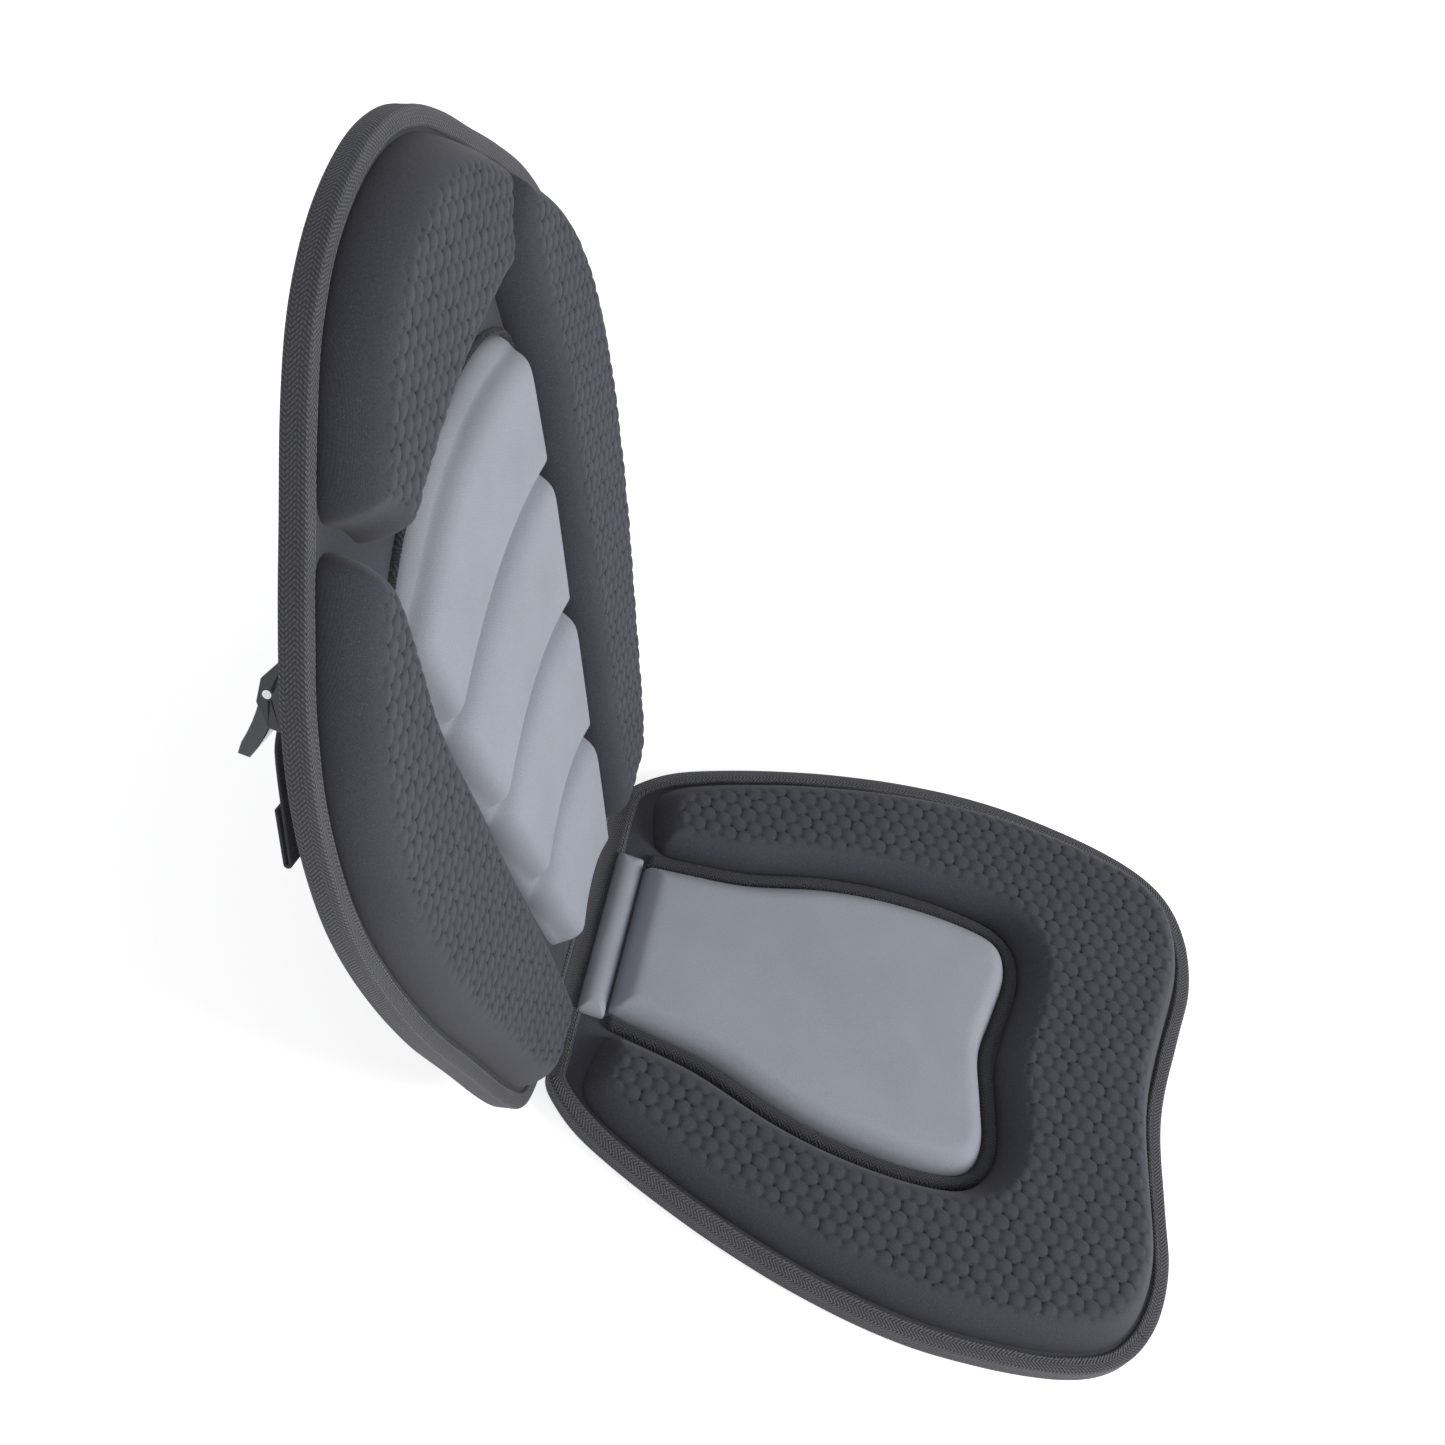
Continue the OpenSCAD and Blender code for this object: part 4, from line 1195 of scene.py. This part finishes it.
@dataclass
class RearStraps:
    """Webbing, patches, buckles and hooks behind the back."""

    back: Place
    lean: float = 24.0
    round_edge: float = 0.45 * MM
    seam_inset: float = 3 * MM

    def build(self, finish: Finishes) -> None:
        """Builds both sides."""
        for side, sign in SIDES.items():
            upright = self._frame(sign, 0.0)
            leaning = self._frame(sign, self.lean)
            self._patch(f"upper_anchor_{side}", leaning, finish)
            self._patch(f"lower_anchor_{side}", upright, finish)
            self._strap(f"upper_strap_{side}", leaning, finish)
            self._strap(f"lower_strap_{side}", upright, finish)
            self._strap(f"pull_tab_{side}", upright, finish)
            self._hardware(side, finish)

    def _frame(self, sign: int, lean: float) -> Place:
        """Frame of a strap: across it, along it, and out behind the back."""
        angle = math.radians(lean)
        across = np.array([-math.cos(angle) * sign, -math.sin(angle), 0.0])
        along = np.array([-math.sin(angle) * sign, math.cos(angle), 0.0])
        out = np.array([0.0, 0.0, -1.0])
        if sign < 0:
            across = -across
        return Place(self.back.origin, np.array([across, along, out]) @ self.back.axes)

    def _patch(self, node: str, place: Place, finish: Finishes) -> None:
        """Webbing patch sewn to the rear cover with a crossed box."""
        _, top = levels(node, place)
        trim = Trim("back", place, node, Slot.WEBBING, 1.0 * MM, 1.6 * MM, shade=0.0)
        loop = trim.build(node + "_patch", finish.webbing)
        low, high = loop.min(0) + self.seam_inset, loop.max(0) - self.seam_inset
        corners = [low, np.array([high[0], low[1]]), high, np.array([low[0], high[1]])]
        lines = []
        for a, b in ((0, 1), (1, 2), (2, 3), (3, 0), (0, 2), (1, 3)):
            flat = np.linspace(corners[a], corners[b], 12)
            line = place.world(np.column_stack([flat, np.full(12, top + 0.05 * MM)]))
            lines.append((line, np.tile(place.axes[2], (12, 1))))
        stitcher = Stitcher(pitch=2.6 * MM, length=1.9 * MM)
        seam = stitcher.row(node + "_stitches", lines, finish.thread)
        settle(seam, "back", Slot.WEBBING)

    def _strap(self, node: str, place: Place, finish: Finishes) -> None:
        """Webbing along the CAD strap's own route, with rounded selvedges."""
        side_on = Place(place.origin, np.array([place.axes[1], place.axes[2], place.axes[0]]))
        low, high = levels(node, side_on)
        loop = node_loop(node, side_on, True, 0.7 * MM, 0.25 * MM)
        normal = outward(loop)
        middle, half = 0.5 * (low + high), 0.5 * (high - low)
        edge = self.round_edge
        # Places across the webbing, and how far its faces are drawn in there, in rounded edges
        selvedge = [(-half, 1.0), (-half + 0.3 * edge, 0.45), (-half + edge, 0.1),
                    (-half + 2.4 * edge, 0.0)]
        inside = np.linspace(-half + 2 * MM, half - 2 * MM, 25)
        stations = selvedge + [(w, 0.06 * (1 + math.cos(w / (1.3 * MM)))) for w in inside]
        stations += [(-w, pull) for w, pull in reversed(selvedge)]
        rings = []
        for w, pull in stations:
            flat = loop - pull * edge * normal
            rings.append(np.column_stack([flat, np.full(len(flat), middle + w)]))
        count, around = len(rings), len(loop)
        sides = tube_faces(count, around, False)
        flat, caps, number = triangles(rings[0][:, :2], around)
        turned = np.zeros(len(flat), int)
        turned[number] = np.arange(around)
        caps = turned[caps]
        faces = sides.tolist() + caps[:, ::-1].tolist() + (caps + (count - 1) * around).tolist()
        cloth = wrap(np.array([w for w, _ in stations]), run_along(loop))
        points = side_on.world(np.vstack(rings))
        strap = new_piece(node + "_webbing", points, faces, finish.webbing, cloth, crease=75)
        settle(strap, "back", Slot.WEBBING, node)

    def _hardware(self, side: str, finish: Finishes) -> None:
        """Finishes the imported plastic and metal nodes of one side."""
        finishes = {
            "buckle_frame": (finish.frame_plastic, 0.7),
            "cam_lever": (finish.plastic, 0.9),
            "lever_pin": (finish.steel, 0.3),
            "swivel_eye": (finish.brass, 0.6),
            "snap_hook": (finish.brass, 0.4),
            "gate_pin": (finish.steel, 0.15),
            "snap_gate": (finish.brass, 0.4),
        }
        for stem, (material, bevel) in finishes.items():
            dress_node(f"{stem}_{side}", material, bevel * MM)


def dress_node(node: str, material: Material, bevel: float) -> None:
    """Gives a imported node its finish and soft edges.

    Args:
        node: The CAD node's name.
        material: Its finish.
        bevel: Width of its rounded edges, or 0 for none.
    """
    piece = frame["nodes"][node]
    piece.data.materials.clear()
    piece.data.materials.append(material)
    if bevel:
        weld = piece.modifiers.new("weld", "WELD")
        weld.merge_threshold = WELD_GAP
        edge = piece.modifiers.new("bevel", "BEVEL")
        edge.width = bevel
        edge.segments = 3
        edge.limit_method = "ANGLE"
        edge.angle_limit = BEVEL_ANGLE
        edge.harden_normals = False
        edge.use_clamp_overlap = True
    LOG.info("%s: packed node in %s", node, material.name)


# Studio --------------------------------------------------------------------------


@dataclass(frozen=True)
class Lamp:
    """A soft square lamp: its place and size in metres, and its power in watts."""

    name: str
    place: tuple[float, float, float]
    size: float
    watts: float


@dataclass
class Studio:
    """Camera, lamps, floor and world."""

    eye: tuple[float, float, float] = (-0.659025, 0.125303, 1.067082)
    right: tuple[float, float, float] = (0.188141, -0.935298, 0.299699)
    up: tuple[float, float, float] = (0.771195, 0.329640, 0.544607)
    lens: float = 55.196
    sensor: float = 36.0
    aim: tuple[float, float, float] = (0.0, 0.0, 0.15)
    world_light: float = 0.33
    floor_grey: float = 0.82
    floor_glow: float = 0.68
    floor_size: float = 30.0
    floor_drop: float = 0.4 * MM
    lamps: tuple[Lamp, ...] = (
        Lamp("key", (-0.3, -2.0, 1.15), 0.7, 40.0),
        Lamp("fill", (-1.7, 0.1, 0.8), 1.2, 7.0),
        Lamp("top", (0.3, 0.5, 2.2), 1.6, 5.0),
    )

    def build(self) -> None:
        """Sets up the whole studio."""
        self._camera()
        self._world()
        self._floor()
        for lamp in self.lamps:
            self._light(lamp)
        bpy.context.scene.view_settings.view_transform = "Standard"

    def _camera(self) -> None:
        """Camera at its place relative to the hinge."""
        right = Vector(self.right).normalized()
        back = right.cross(Vector(self.up)).normalized()
        up = back.cross(right)
        data = bpy.data.cameras.new("camera")
        data.lens = self.lens
        data.sensor_width = self.sensor
        data.clip_start = 0.01
        camera = bpy.data.objects.new("camera", data)
        place = Vector(frame["joints"][0]["pos_m"]) + Vector(self.eye)
        turn = Matrix((right, up, back)).transposed().to_4x4()
        camera.matrix_world = Matrix.Translation(place) @ turn
        bpy.context.scene.collection.objects.link(camera)
        bpy.context.scene.camera = camera

    def _light(self, lamp: Lamp) -> None:
        """Sets up a lamp and aims it at the middle of the seat."""
        data = bpy.data.lights.new(lamp.name, "AREA")
        data.size = lamp.size
        data.energy = lamp.watts
        made = bpy.data.objects.new(lamp.name, data)
        made.location = lamp.place
        aim = Vector(self.aim) - Vector(lamp.place)
        made.rotation_euler = aim.to_track_quat("-Z", "Y").to_euler()
        bpy.context.scene.collection.objects.link(made)

    @staticmethod
    def _shows_background(graph: Graph) -> Socket:
        """1 for rays that see the background: camera, glossy and transmission rays."""
        path = graph.add("ShaderNodeLightPath")
        rays = [path.outputs[k] for k in ("Is Camera Ray", "Is Glossy Ray", "Is Transmission Ray")]
        return graph.math("MAXIMUM", graph.math("MAXIMUM", rays[0], rays[1]), rays[2])

    def _world(self) -> None:
        """White background with a softer light of its own."""
        world = bpy.data.worlds.new("studio")
        world.use_nodes = True
        bpy.context.scene.world = world
        graph = Graph(world.node_tree)
        seen = graph.add("ShaderNodeBackground", {0: (1, 1, 1, 1), 1: 1.0})
        light = graph.add("ShaderNodeBackground", {0: (0.97, 0.98, 1, 1), 1: self.world_light})
        shares = {0: self._shows_background(graph), 1: light.outputs[0], 2: seen.outputs[0]}
        mixed = graph.add("ShaderNodeMixShader", shares)
        out = graph.add("ShaderNodeOutputWorld")
        graph.join(mixed.outputs[0], out.inputs[0])

    def _floor(self) -> None:
        """Pale floor that keeps the seat's shadow and runs out to white."""
        half, level = self.floor_size / 2, -self.floor_drop
        corners = [(x * half, y * half, level) for x, y in ((-1, -1), (1, -1), (1, 1), (-1, 1))]
        mesh = bpy.data.meshes.new("studio_floor")
        mesh.from_pydata(corners, [], [(0, 1, 2, 3)])
        floor = bpy.data.objects.new("studio_floor", mesh)
        bpy.context.scene.collection.objects.link(floor)
        material = bpy.data.materials.new("studio_floor_white")
        material.use_nodes = True
        graph = Graph(material.node_tree)
        matt = graph.add("ShaderNodeBsdfDiffuse", {0: (*(self.floor_grey,) * 3, 1)})
        glow = graph.add("ShaderNodeEmission", {0: (1, 1, 1, 1), 1: self.floor_glow})
        both = graph.add("ShaderNodeAddShader", {0: matt.outputs[0], 1: glow.outputs[0]})
        shares = {0: self._shows_background(graph), 1: matt.outputs[0], 2: both.outputs[0]}
        pick = graph.add("ShaderNodeMixShader", shares)
        out = graph.add("ShaderNodeOutputMaterial")
        graph.join(pick.outputs[0], out.inputs[0])
        mesh.materials.append(material)


def main() -> None:
    """Builds the seat's looks in order."""
    logging.basicConfig(level=logging.INFO, format="%(message)s")
    seat, back = seat_place(), back_place()
    finish = Finishes()
    Studio().build()
    shells = (("seat", seat, "top", "bottom"), ("back", back, "front", "rear"))
    for name, place, front, rear in shells:
        Shell(name, name, place, f"{name}_{front}_cover", f"{name}_{rear}_cover",
              f"{name}_base_foam", f"{name}_edge_binding").build(finish)
    SeatPads(seat).build(finish)
    BackPads(back).build(finish)
    HingeCloth(back).build(finish)
    RearStraps(back).build(finish)
    for node in ("seat_stiffener", "back_stiffener"):
        dress_node(node, finish.sheet, 0.0)


if __name__ == "__main__":
    main()
